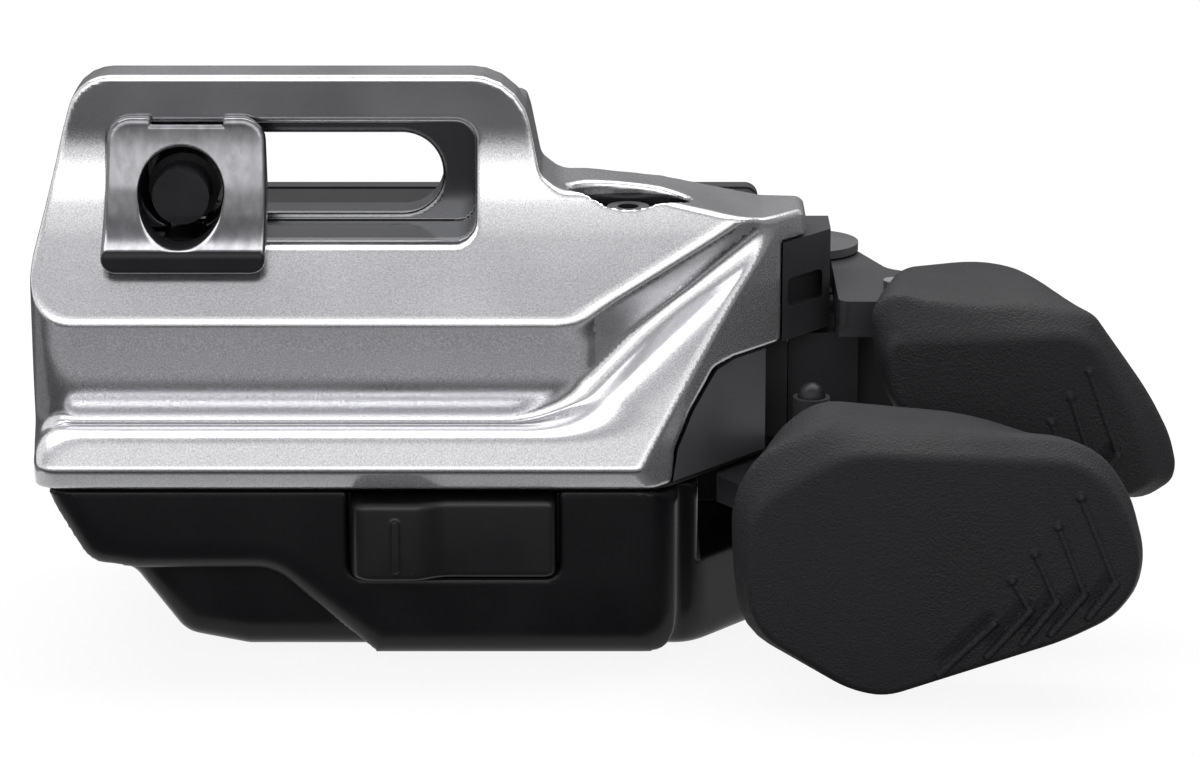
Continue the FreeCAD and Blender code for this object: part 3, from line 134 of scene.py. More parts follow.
# Meshes from distance fields
def lines(*spans):
    """Grid lines through spans of start, end and step."""
    parts = [np.linspace(start, end, max(1, round((end - start) / step)), endpoint=False)
             for start, end, step in spans]
    return np.concatenate(parts + [[spans[-1][1]]])


def surface_net(values, axes):
    """Points near the zero surface, one in each grid cell that it crosses, and the quads between them."""
    inside = values < 0
    counts = [size - 1 for size in values.shape]
    full = np.zeros(counts, int)
    for i in (0, 1):
        for j in (0, 1):
            for k in (0, 1):
                full += inside[i:i + counts[0], j:j + counts[1], k:k + counts[2]]
    active = (full > 0) & (full < 8)
    cells = np.argwhere(active)
    index = np.full(counts, -1)
    index[active] = np.arange(len(cells))
    total = np.zeros((len(cells), 3))
    hits = np.zeros(len(cells))
    for axis in range(3):
        others = [other for other in range(3) if other != axis]
        for i in (0, 1):
            for j in (0, 1):
                start = cells.copy()
                start[:, others[0]] += i
                start[:, others[1]] += j
                end = start.copy()
                end[:, axis] += 1
                before, after = values[tuple(start.T)], values[tuple(end.T)]
                crossing = (before < 0) != (after < 0)
                share = before[crossing] / (before[crossing] - after[crossing])
                low = np.stack([axes[n][start[crossing, n]] for n in range(3)], axis=1)
                high = np.stack([axes[n][end[crossing, n]] for n in range(3)], axis=1)
                total[crossing] += low + (high - low) * share[:, None]
                hits[crossing] += 1
    quads = []
    for axis in range(3):
        second, third = (axis + 1) % 3, (axis + 2) % 3
        first_half = np.take(inside, range(counts[axis]), axis)
        last_half = np.take(inside, range(1, counts[axis] + 1), axis)
        edges = np.argwhere(first_half != last_half)
        outward = first_half[tuple(edges.T)]
        ring = []
        for shift in ((-1, -1), (0, -1), (0, 0), (-1, 0)):
            cell = edges.copy()
            cell[:, second] += shift[0]
            cell[:, third] += shift[1]
            ring.append(index[tuple(cell.T)])
        faces = np.stack(ring, axis=1)
        faces[~outward] = faces[~outward][:, ::-1]
        quads.append(faces)
    return total / hits[:, None], np.concatenate(quads)


def slope_of(field, points, gap=0.004):
    """The field's gradient at each point."""
    result = np.empty_like(points)
    for axis in range(3):
        ahead, behind = points.copy(), points.copy()
        ahead[:, axis] += gap
        behind[:, axis] -= gap
        result[:, axis] = (field(*ahead.T) - field(*behind.T)) / (2 * gap)
    return result


SNAP_ROUNDS = 3
NORMAL_GAP = 0.03
LEAST_STEEPNESS = 0.05


def field_mesh(name, field, axes):
    """A smooth mesh on the field's zero surface, with the field's own normals."""
    x, y, z = (axis.reshape([-1 if n == place else 1 for n in range(3)]) for place, axis in enumerate(axes))
    values = np.broadcast_to(field(x, y, z), [len(axis) for axis in axes])
    points, quads = surface_net(values, axes)
    reach = 0.5 * min(np.diff(axis).min() for axis in axes)
    for _ in range(SNAP_ROUNDS):
        slope = slope_of(field, points)
        strength = np.maximum((slope ** 2).sum(axis=1), LEAST_STEEPNESS)
        move = -(field(*points.T) / strength)[:, None] * slope
        length = np.maximum(np.linalg.norm(move, axis=1), 1e-9)
        points += move * np.minimum(1.0, reach / length)[:, None]
    normals = slope_of(field, points, NORMAL_GAP)
    normals /= np.maximum(np.linalg.norm(normals, axis=1), 1e-9)[:, None]
    mesh = bpy.data.meshes.new(name)
    mesh.from_pydata((points * MM).tolist(), [], quads.tolist())
    mesh.shade_smooth()
    mesh.normals_split_custom_set_from_vertices(normals.tolist())
    return mesh


def add_piece(name, mesh, material, body, node):
    """Shows a mesh in place of a node, riding on the node's body."""
    piece = bpy.data.objects.new(name, mesh)
    bpy.context.scene.collection.objects.link(piece)
    mesh.materials.append(material)
    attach(piece, body)
    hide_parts(node)


# Top cover: depths run along Y, less towards the front, and heights along Z
SIDE_START = 33.7
SIDE_ANGLE = math.radians(50.0)
SIDE_FRONT = -9.6
FLANGE_LEFT = -11.2
FLANGE_BACK = 3.9
BLOCK_TOP = 5.9
BLOCK_BACK = 7.0
RIM_LOW = -19.0
COVER_WALL = 1.5
SLOPE_TOP, SLOPE_LEAN = 0.4, 0.689
STEEP_TOP, STEEP_LEAN = -4.1, 0.962
BAND_TOP, BAND_LEAN = -8.05, 0.038
WALL_LEAN, WALL_TURN = 0.388, 0.633
GROOVE_TOP, GROOVE_LEAN = -13.3, 0.36
FACET_DEPTH, FACET_LEAN = 1.22, 0.73
CHIN_TOP, CHIN_LEAN = -17.3, 0.7
VALLEY_LEAN, FLANK_TURN = 1.045, 0.35
NOSE = -11.4
LEFT_TAPER = 1.3
POCKET_BACK = 3.7
SLOT_LENGTH, SLOT_HEIGHT, SLOT_RADIUS = 15.3, 0.3, 2.9
SCREW_HOLE = 0.8
RECESS_CENTRE = (31.4, 0.9)
RECESS_FLOOR = -2.5
BOSSES = ((-6.0, -13.0), (26.0, -9.5))
# Material slots that hold painted shade: the first a dark finish painted as shade in hollows, the second a
# darker copy of the paint on the cover's right side and under its nose.
SHADE_PAINTED_FACES, SIDE_SHADE_PAINTED_FACES = 1, 2

COVER_OUTLINE = rounded([
    (-11.2, -22.0), (-11.2, -7.4), (-8.4, 4.3), (-7.3, 8.15, 3.0), (23.8, 8.15, 4.2), (25.2, 1.1, 1.2),
    (26.6, 0.0, 2.0), (28.4, 0.0), (33.7, -0.55), (40.9, -2.0), (44.1, -2.1, 0.7), (44.1, -4.05, 0.3),
    (42.3, -4.05), (42.3, -22.0),
])
SIDE_CUT = rounded([
    (46.0, -11.4), (38.8, -11.4), (37.4, -11.7, 0.6), (36.7, -12.8), (35.7, -14.3), (34.6, -16.7),
    (34.2, -22.0), (46.0, -22.0),
])
POCKET = rounded([(-5.0, -3.15, 1.4), (-5.0, 4.7, 1.4), (20.6, 4.7, 1.4), (20.6, -3.15, 1.4)])
SCREW_RECESS = [(RECESS_CENTRE[0] + 4.3 * math.cos(angle), RECESS_CENTRE[1] + 2.2 * math.sin(angle))
                for angle in np.linspace(0.0, 2 * math.pi, 40, endpoint=False)]


def side_wall(x, y):
    """Distance beyond the slanted right side."""
    return (x - SIDE_START) * math.sin(SIDE_ANGLE) - (y - SIDE_FRONT) * math.cos(SIDE_ANGLE)


def cover_left(x, y):
    """Distance beyond the left edge, which runs in by LEFT_TAPER on its way to the nose."""
    slant = ((x - FLANGE_LEFT) * NOSE - y * LEFT_TAPER) / math.hypot(NOSE, LEFT_TAPER)
    return smooth_max(FLANGE_LEFT - x, slant, 0.6)


def cover_upper(x, y, z, left):
    """The flange's face, the slope under it, the band, the wall right of the band, and the groove."""
    slope = smooth_min(facing(y, 0.0), facing(y, SLOPE_LEAN * (z - SLOPE_TOP), SLOPE_LEAN), 2.4)
    slope = smooth_min(slope, facing(y, -3.1 + STEEP_LEAN * (z - STEEP_TOP), STEEP_LEAN), 2.0)
    band = smooth_max(facing(y, -6.9 - BAND_LEAN * (z - BAND_TOP), BAND_LEAN), left, 3.2)
    upper = smooth_max(slope, band, 0.3)
    above = smooth_max(z - BAND_TOP, 0.0, 1.5)
    wall = facing(y, -5.64 + WALL_TURN * (x - 29.5) - WALL_LEAN * above, WALL_LEAN, WALL_TURN)
    upper = smooth_max(upper, wall, 0.7)
    groove = facing(y, -6.7 - GROOVE_LEAN * (z - GROOVE_TOP), GROOVE_LEAN)
    return smooth_max(upper, smooth_max(groove, left, 3.2), 0.6)


def cover_raised(x, y, z, left):
    """The broad facet and the chin under it, bounded by the bulge's ledge and the facet's left flank."""
    facet = facing(y, FACET_LEAN * z + FACET_DEPTH, FACET_LEAN)
    chin = facing(y, NOSE - CHIN_LEAN * (z - CHIN_TOP), CHIN_LEAN)
    face = smooth_max(facet, chin, 0.35)
    ledge = smooth_max((z + 14.9 + 0.45 * (y + 8.0)) / 1.1, left, 3.0)
    inner = 30.38 + VALLEY_LEAN * (z + 11.39)
    flank = facing(y, FACET_LEAN * z + FACET_DEPTH + FLANK_TURN * (inner - x),
                   FACET_LEAN + VALLEY_LEAN * FLANK_TURN, FLANK_TURN)
    beside = smooth_max(flank, (27.2 - x + 1.2 * (z + 14.4)) / 1.56, 2.6)
    return smooth_max(face, smooth_min(ledge, beside, 2.0), 1.8)


def cover_front(x, y, z):
    """Distance in front of the cover's outer face, and beyond its left and right sides."""
    left = cover_left(x, y)
    body = smooth_min(cover_upper(x, y, z, left), cover_raised(x, y, z, left), 1.6)
    side = (x - 32.6) * 0.743 - (y + 11.0) * 0.669
    side = np.maximum(side_wall(x, y), side)
    return smooth_max(smooth_max(body, side, 0.5), left, 0.4)


def cover_field(x, y, z):
    """The shell with its two bosses, the flange's pocket and slot, and the screw's recess and hole."""
    front = cover_front(x, y, z)
    solid = smooth_max(front, polygon(x, z, COVER_OUTLINE), 0.4)
    solid = smooth_max(solid, RIM_LOW - z, 0.3)
    solid = smooth_max(solid, y - BLOCK_BACK, 0.5)
    solid = carve(solid, np.maximum(FLANGE_BACK - y, BLOCK_TOP - z), 0.4)
    roof = np.where(x > 27.3, 4.05, 5.2)
    hollow = np.maximum(np.maximum(front + COVER_WALL, z + roof), side_wall(x, y) + COVER_WALL)
    solid = np.maximum(solid, -hollow)
    for centre in BOSSES:
        solid = np.minimum(solid, rod(x, z, y, centre, 2.3, -5.9, 6.95))
        solid = np.maximum(solid, -rod(x, z, y, centre, SCREW_HOLE, 3.0, 9.0))
    solid = carve(solid, polygon(x, z, SIDE_CUT), 0.4)
    solid = carve(solid, np.maximum(polygon(x, z, POCKET), y - POCKET_BACK), 0.6)
    across = np.hypot(np.maximum(np.maximum(-x, x - SLOT_LENGTH), 0.0), z - SLOT_HEIGHT) - SLOT_RADIUS
    solid = carve(solid, across, 0.4)
    solid = carve(solid, np.maximum(polygon(x, y, SCREW_RECESS), RECESS_FLOOR - z), 0.4)
    return np.maximum(solid, -rod(x, y, z, (31.4, 1.1), SCREW_HOLE, -6.0, 0.0))


def in_pocket(x, y, z):
    """Whether a point of the cover lies inside the flange's pocket or slot."""
    mouth = 0.9 + min(0.0, SLOPE_LEAN * (z - SLOPE_TOP))
    return -5.2 < x < 20.8 and -3.3 < z < 4.9 and mouth < y < 6.8


def in_recess(x, y, z):
    """Whether a point of the cover lies low in the screw's recess."""
    along = (x - RECESS_CENTRE[0]) / 4.5
    across = (y - RECESS_CENTRE[1]) / 2.4
    return along ** 2 + across ** 2 < 1.0 and -2.7 < z < -1.0


def top_cover(material, painted_shade, side_painted_shade):
    axes = [lines((-11.6, 44.5, 0.25)), lines((-12.6, 7.4, 0.25)), lines((-19.4, 8.6, 0.25))]
    mesh = field_mesh("cover_shell", cover_field, axes)
    add_piece("cover_shell", mesh, material, "housing", "top_cover")
    mesh.materials.append(painted_shade)
    mesh.materials.append(side_painted_shade)
    for face in mesh.polygons:
        x, y, z = face.center / MM
        # Faces on the right side and under the nose take a darker copy of the paint as painted shade.
        on_side = face.normal.x > 0.45 and x > 29.0
        under_nose = face.normal.z < -0.25 and y < -9.3
        # Faces in the pocket, slot and screw recess take a dark copy of the paint as painted shade.
        if in_pocket(x, y, z) or in_recess(x, y, z):
            face.material_index = SHADE_PAINTED_FACES
        elif on_side or under_nose:
            face.material_index = SIDE_SHADE_PAINTED_FACES


# Clamp saddle: its back follows the cover's slopes at SEAT_GAP
SADDLE_OUTLINE = rounded([(-5.5, -4.85, 1.0), (-5.2, 5.35, 1.7), (5.9, 5.35, 1.7), (6.1, -4.85, 1.0)])
SEAT_GAP = 0.15
SLOPE_STRETCH = 1.214
STEEP_STRETCH = 1.388
SEAT_CENTRE = (-11.9, 5.65)
SEAT_RADIUS = 11.1
LIP_FRONT = -5.4


def saddle_field(x, y, z):
    """The curved seat with its notch and oval hole, and the key that runs in the slot."""
    outline = polygon(x, z, SADDLE_OUTLINE)
    back = np.maximum(y + SEAT_GAP, (y - SLOPE_LEAN * (z - SLOPE_TOP) + SEAT_GAP) / SLOPE_STRETCH)
    back = np.maximum(back, (y + 3.25 - STEEP_LEAN * (z - STEEP_TOP)) / STEEP_STRETCH)
    seat = smooth_max(SEAT_RADIUS - np.hypot(y - SEAT_CENTRE[0], z - SEAT_CENTRE[1]), LIP_FRONT - y, 0.35)
    solid = smooth_max(smooth_max(seat, outline, 0.5), back, 0.25)
    solid = carve(solid, block(x, y, z, (-2.1, -9.0, 4.8), (2.9, 2.0, 9.0)), 0.3)
    key = block(x, y, z, (-4.0, -0.5, -3.0), (4.0, 3.55, 4.55))
    solid = smooth_min(solid, np.maximum(key, -0.6 - 0.5 * z - y), 0.2)
    hole = np.minimum(np.hypot(x, z - 0.25) - 2.95, np.hypot(x, z + 0.25) - 2.85)
    return carve(solid, hole, 0.3)


def clamp_saddle(material, painted_shade):
    axes = [lines((-5.8, 6.4, 0.14)), lines((-5.7, 3.9, 0.14)), lines((-5.1, 5.7, 0.14))]
    mesh = field_mesh("saddle_seat", saddle_field, axes)
    add_piece("saddle_seat", mesh, material, "clamp", "clamp_saddle")
    mesh.materials.append(painted_shade)
    # Faces inside the oval hole take the bolt's black as painted shade, and faces under the seat's lip take
    # it as a painted dark reflection.
    for face in mesh.polygons:
        x, y, z = face.center / MM
        in_hole = math.hypot(x, z) < 3.15 and abs(face.normal.y) < 0.3
        under_lip = y < -5.2 and z < -2.9
        if in_hole or under_lip:
            face.material_index = SHADE_PAINTED_FACES


# Seal and lower housing
HOUSING_TOP = -19.4
SPLIT_DEPTH = 7.3
HOUSING_BACK = 17.0


def seal_field(x, y, z):
    """A flat ring between the cover's rim and the housing."""
    plan = smooth_max(smooth_max(-9.8 - x, -9.2 - y, 2.2), side_wall(x, y) + 0.35, 1.5)
    plan = np.maximum(plan, np.maximum(y - 6.7, x - 40.9))
    return np.maximum(np.maximum(plan, -plan - 1.0), np.maximum(HOUSING_TOP - z, z - RIM_LOW))


def cover_seal(material):
    axes = [lines((-10.2, 42.0, 0.3)), lines((-9.6, 7.2, 0.3)), lines((-19.7, -18.7, 0.1))]
    mesh = field_mesh("cover_seal", seal_field, axes)
    add_piece("cover_seal", mesh, material, "housing", "cover_gasket")


HOUSING_FRONT = rounded([
    (-10.0, -15.0), (-10.0, -19.4), (-6.7, -25.2, 2.4), (-3.0, -25.75), (6.3, -25.75, 3.0), (13.5, -32.0),
    (41.2, -32.0, 0.8), (41.2, -15.0),
])
HOUSING_MIDDLE = rounded([
    (-10.0, -15.0), (-10.0, -19.4), (-6.7, -25.2, 1.0), (-3.6, -26.4, 1.5), (-0.1, -31.1, 2.4), (4.4, -32.0),
    (41.2, -32.0, 0.8), (41.2, -15.0),
])
HOUSING_ROOM = [
    (-7.0, -15.0), (-5.0, -23.9), (6.9, -24.1), (14.2, -30.4), (34.7, -30.4), (34.7, -15.0),
]


def housing_rear(inset):
    """The rear part's outline, moved in by inset."""
    return rounded([
        (-8.5 + inset, -4.0 - inset, 1.5), (41.2 - inset, -4.0 - inset, 1.0),
        (41.2 - inset, -32.0 + inset, 1.0), (3.8 + inset, -32.0 + inset),
        (-0.1 + inset, -31.1 + inset, 1.5), (-3.5 + inset, -26.4 + inset), (-8.5 + inset, -21.0 + inset),
    ])


BUTTON_NOTCH = rounded([(11.75, -15.0), (11.75, -25.75, 1.0), (26.55, -25.75, 1.0), (26.55, -15.0)])
HOUSING_REAR = housing_rear(0.0)
REAR_ROOM = housing_rear(1.6)
POSTS = ((-4.9, -7.6), (33.4, -7.6), (6.4, -28.4), (35.2, -28.4))
TAIL_SLOTS = (-8.0, -19.6)
BRACKET_HOLES = (-11.6, -15.2)
BUTTON_BACK = -7.3


def housing_field(x, y, z):
    """The front and rear parts with their rooms, the notches round the button and bracket, and the holes."""
    plan = smooth_max(-10.0 - x, side_wall(x, y) + 0.15, 0.3)
    front = smooth_max(polygon(x, z, HOUSING_FRONT), np.maximum(-9.4 - y, y + 7.0), 2.8)
    middle = smooth_max(polygon(x, z, HOUSING_MIDDLE), np.maximum(-7.0 - y, y - SPLIT_DEPTH), 2.4)
    solid = smooth_max(smooth_min(front, middle, 0.9), z - HOUSING_TOP, 0.25)
    rear = smooth_max(polygon(x, z, HOUSING_REAR), np.maximum(SPLIT_DEPTH - y, y - HOUSING_BACK), 0.4)
    solid = smooth_max(smooth_min(solid, rear, 0.4), plan, 1.6)
    room = np.maximum(polygon(x, z, HOUSING_ROOM), np.maximum(-7.8 - y, y - 5.7))
    solid = np.maximum(solid, -np.maximum(room, side_wall(x, y) + 1.75))
    solid = np.maximum(solid, -np.maximum(polygon(x, z, REAR_ROOM), 8.9 - y))
    solid = carve(solid, block(x, y, z, (36.3, -12.0, -25.4), (44.0, SPLIT_DEPTH, -15.0)), 0.3)
    notch = np.maximum(polygon(x, z, BUTTON_NOTCH), y - BUTTON_BACK)
    solid = carve(solid, notch, 0.4)
    for low in TAIL_SLOTS:
        solid = carve(solid, block(x, y, z, (38.6, 11.4, low - 2.4), (44.0, 16.2, low + 0.5)), 0.2)
    for centre in POSTS:
        solid = np.minimum(solid, rod(x, z, y, centre, 1.7, 8.0, HOUSING_BACK))
        solid = np.maximum(solid, -rod(x, z, y, centre, SCREW_HOLE, 12.0, 20.0))
    for centre in BOSSES:
        solid = np.maximum(solid, -rod(x, z, y, centre, 1.55, 8.1, 9.5))
        solid = np.maximum(solid, -rod(x, z, y, centre, 0.85, 6.0, 9.0))
    for height in BRACKET_HOLES:
        solid = np.maximum(solid, -rod(y, z, x, (9.0, height), 0.85, 39.0, 43.0))
    return solid


def lower_housing(material):
    axes = [lines((-10.4, 41.6, 0.32)), lines((-9.9, 17.5, 0.32)), lines((-32.5, -3.5, 0.32))]
    mesh = field_mesh("housing_shell", housing_field, axes)
    add_piece("housing_shell", mesh, material, "housing", "lower_housing")


# Function button
BUTTON_FACE = -10.4
BULGE_REACH = 0.9
RIB_FRONT = -11.6
RIB_HALF = 0.26


def button_field(x, y, z):
    """The key, which bulges to the left, with a lip round its foot and an upright rib."""
    bulge = np.clip((18.9 - x) / 2.6, 0.0, 1.0)
    reach = BUTTON_FACE - BULGE_REACH * bulge * bulge * (3 - 2 * bulge)
    solid = smooth_max(facing(y, reach), 12.0 - x, 1.5)
    solid = smooth_max(smooth_max(solid, x - 26.3, 0.7), np.maximum(-25.5 - z, z + 19.75), 0.6)
    solid = np.maximum(solid, y + 6.85)
    lip = block(x, y, z, (11.1, -7.5, -26.2), (27.2, -6.8, -20.05))
    solid = smooth_min(solid, lip, 0.1)
    away, _ = segment(x, z, (15.15, -24.5), (15.15, -21.2))
    rib = np.maximum(away - RIB_HALF, RIB_FRONT - y)
    return smooth_min(solid, np.maximum(rib, y + 11.0), 0.25)


def function_button(material):
    axes = [lines((10.9, 27.4, 0.13)), lines((-11.8, -6.6, 0.13)), lines((-26.4, -19.6, 0.13))]
    mesh = field_mesh("function_key", button_field, axes)
    add_piece("function_key", mesh, material, "button", "function_button")


# Thumb pads: outlines at several depths, from each pad's left edge, with slanted walls between them
UPPER_X = 48.3
LOWER_X = 38.4
UPPER_DEPTHS = (-5.6, -4.0, 1.5, 6.0)
LOWER_DEPTHS = (-16.4, -14.4, -10.6)
CORNER_REACH = 3.0


def pad_outline(points, left):
    return softened([(left + u, v) for u, v in points], CORNER_REACH)


UPPER_FACE = pad_outline([
    (1.7, -9.7), (14.0, -9.3), (15.6, -9.9), (18.6, -15.2), (19.5, -17.9), (19.9, -19.2), (19.7, -20.0),
    (18.3, -20.9), (13.3, -20.2), (5.1, -17.4), (1.7, -14.0), (1.3, -10.6),
], UPPER_X)
UPPER_RIM = pad_outline([
    (1.3, -6.6), (14.4, -7.8), (15.8, -8.1), (19.9, -14.0), (21.4, -17.0), (21.9, -19.1), (21.7, -20.3),
    (19.7, -21.7), (13.7, -21.0), (4.7, -18.0), (0.9, -14.0), (0.1, -8.0),
], UPPER_X)
UPPER_MIDDLE = pad_outline([
    (1.9, -6.5), (11.9, -6.4), (14.5, -8.0), (18.9, -13.8), (20.7, -17.0), (21.3, -19.0), (21.1, -20.1),
    (19.1, -21.4), (13.5, -20.6), (5.0, -17.7), (1.3, -13.9), (0.7, -8.0),
], UPPER_X)
UPPER_BACK = pad_outline([
    (3.2, -6.8), (8.2, -6.05), (11.7, -7.4), (15.7, -13.0), (17.7, -16.5), (18.5, -18.5), (18.3, -19.4),
    (16.7, -20.4), (12.2, -19.6), (6.2, -17.0), (3.2, -13.5), (2.4, -8.0),
], UPPER_X)
LOWER_FACE = pad_outline([
    (8.1, -14.8), (23.2, -15.4), (25.2, -16.6), (27.0, -19.4), (27.8, -22.2), (27.5, -24.2), (26.0, -26.2),
    (22.9, -27.8), (10.8, -31.9), (8.5, -31.4), (1.8, -27.2), (1.2, -22.7), (1.6, -18.8), (4.5, -16.9),
], LOWER_X)
LOWER_RIM = pad_outline([
    (6.1, -13.3), (22.6, -13.85), (25.4, -15.1), (27.4, -17.9), (28.5, -22.0), (28.2, -24.5), (26.6, -26.8),
    (23.3, -28.5), (10.7, -32.7), (8.1, -32.1), (0.7, -27.7), (0.1, -22.7), (0.0, -18.4), (1.8, -15.2),
], LOWER_X)
LOWER_BACK = pad_outline([
    (6.1, -12.15), (16.6, -13.2), (22.1, -15.6), (25.8, -18.6), (27.4, -22.0), (27.1, -24.3), (25.6, -26.2),
    (22.5, -27.6), (10.9, -31.6), (8.6, -31.1), (2.0, -27.0), (1.4, -22.7), (1.4, -18.6), (3.6, -14.0),
], LOWER_X)

# Each ridge's dot, bend and foot, from the pad's left edge
UPPER_RIDGES = [
    [(15.4, -11.8), (17.6, -17.9), (16.0, -20.2)],
    [(14.15, -13.65), (15.8, -18.6), (13.9, -20.6)],
    [(12.9, -15.5), (14.0, -19.0), (11.7, -21.0)],
]
LOWER_RIDGES = [
    [(18.05, -26.75), (18.05, -26.75), (14.35, -30.4)],
    [(19.25, -23.65), (20.55, -25.8), (17.65, -29.1)],
    [(20.75, -21.7), (22.35, -25.2), (20.1, -28.15)],
    [(22.3, -19.75), (24.25, -24.65), (22.0, -27.45)],
    [(23.8, -17.7), (26.35, -23.85), (24.55, -26.25)],
]
DOT_HEIGHT = 0.32
LINE_HEIGHT = 0.16
BAR_HEIGHT = 0.34
GROOVE_DEPTH = 0.2


def cone(x, y, z, front, back, start, end):
    """Distance to the slanted wall between two outlines at two depths."""
    near = polygon(x, z, front)
    far = polygon(x, z, back)
    return near + (far - near) * (y - start) / (end - start)


def grip_relief(x, z, ridges, left):
    """Height of a pad's ridges: each a dot, a fine line to the bend, and a bar with a groove beside it."""
    height = np.zeros(np.broadcast(x, z).shape)
    for ridge in ridges:
        top, bend, foot = ((left + u, v) for u, v in ridge)
        away = np.hypot(x - top[0], z - top[1])
        raised = DOT_HEIGHT * np.clip(1.5 - away / 0.26, 0.0, 1.0)
        if top != bend:
            away, _ = segment(x, z, top, bend)
            raised = np.maximum(raised, LINE_HEIGHT * np.clip(1.6 - away / 0.16, 0.0, 1.0))
        away, _ = segment(x, z, bend, foot)
        raised = np.maximum(raised, BAR_HEIGHT * np.clip(1.7 - away / 0.2, 0.0, 1.0))
        length = math.hypot(foot[0] - bend[0], foot[1] - bend[1])
        along = ((foot[0] - bend[0]) / length, (foot[1] - bend[1]) / length)
        across = (x - bend[0]) * along[1] - (z - bend[1]) * along[0]
        forward = (x - bend[0]) * along[0] + (z - bend[1]) * along[1]
        ends = np.clip((forward + 0.6) / 0.5, 0.0, 1.0) * np.clip((length - forward) / 0.9, 0.0, 1.0)
        ramp = np.clip((1.2 - across) / 0.9, 0.0, 1.0) * np.clip((across - 0.1) / 0.25, 0.0, 1.0)
        height = height + raised - GROOVE_DEPTH * ramp * ends * (raised < 0.05)
    return height


def upper_pad_field(x, y, z):
    front, rim, middle, back = UPPER_DEPTHS
    bevel = cone(x, y, z, UPPER_FACE, UPPER_RIM, front, rim)
    side = cone(x, y, z, UPPER_RIM, UPPER_MIDDLE, rim, middle)
    rear = cone(x, y, z, UPPER_MIDDLE, UPPER_BACK, middle, back)
    walls = smooth_max(smooth_max(bevel, side, 0.6) - 0.1, rear, 1.6)
    face = front - grip_relief(x, z, UPPER_RIDGES, UPPER_X) - y
    return smooth_max(smooth_max(walls, face, 0.4), y - back, 1.6)


def lower_pad_field(x, y, z):
    front, rim, back = LOWER_DEPTHS
    bevel = cone(x, y, z, LOWER_FACE, LOWER_RIM, front, rim)
    side = cone(x, y, z, LOWER_RIM, LOWER_BACK, rim, back)
    walls = smooth_max(bevel, side, 0.6) - 0.12
    crown = 0.15 * (((x - 53.0) / 14.0) ** 2 + ((z + 23.0) / 9.0) ** 2)
    face = front + crown - grip_relief(x, z, LOWER_RIDGES, LOWER_X) - y
    return smooth_max(smooth_max(walls, face, 0.4), y - back, 0.9)


def thumb_pads(material):
    axes = [lines((47.9, 58.5, 0.24), (58.5, 70.6, 0.15)), lines((-6.4, -5.0, 0.14), (-5.0, 6.3, 0.24)),
            lines((-22.3, -11.0, 0.16), (-11.0, -5.5, 0.24))]
    mesh = field_mesh("upper_pad_rubber", upper_pad_field, axes)
    add_piece("upper_pad_rubber", mesh, material, "upper_lever", "upper_pad")
    axes = [lines((38.0, 51.5, 0.22), (51.5, 65.7, 0.13), (65.7, 67.3, 0.2)),
            lines((-17.1, -15.6, 0.13), (-15.6, -10.3, 0.25)),
            lines((-33.1, -31.0, 0.2), (-31.0, -17.0, 0.13), (-17.0, -11.8, 0.22))]
    mesh = field_mesh("lower_pad_rubber", lower_pad_field, axes)
    add_piece("lower_pad_rubber", mesh, material, "lower_lever", "lower_pad")


# Materials
COAT_ROUGHNESS = 0.12
MIX_COLOURS = (6, 7)
MIX_RESULT = 2


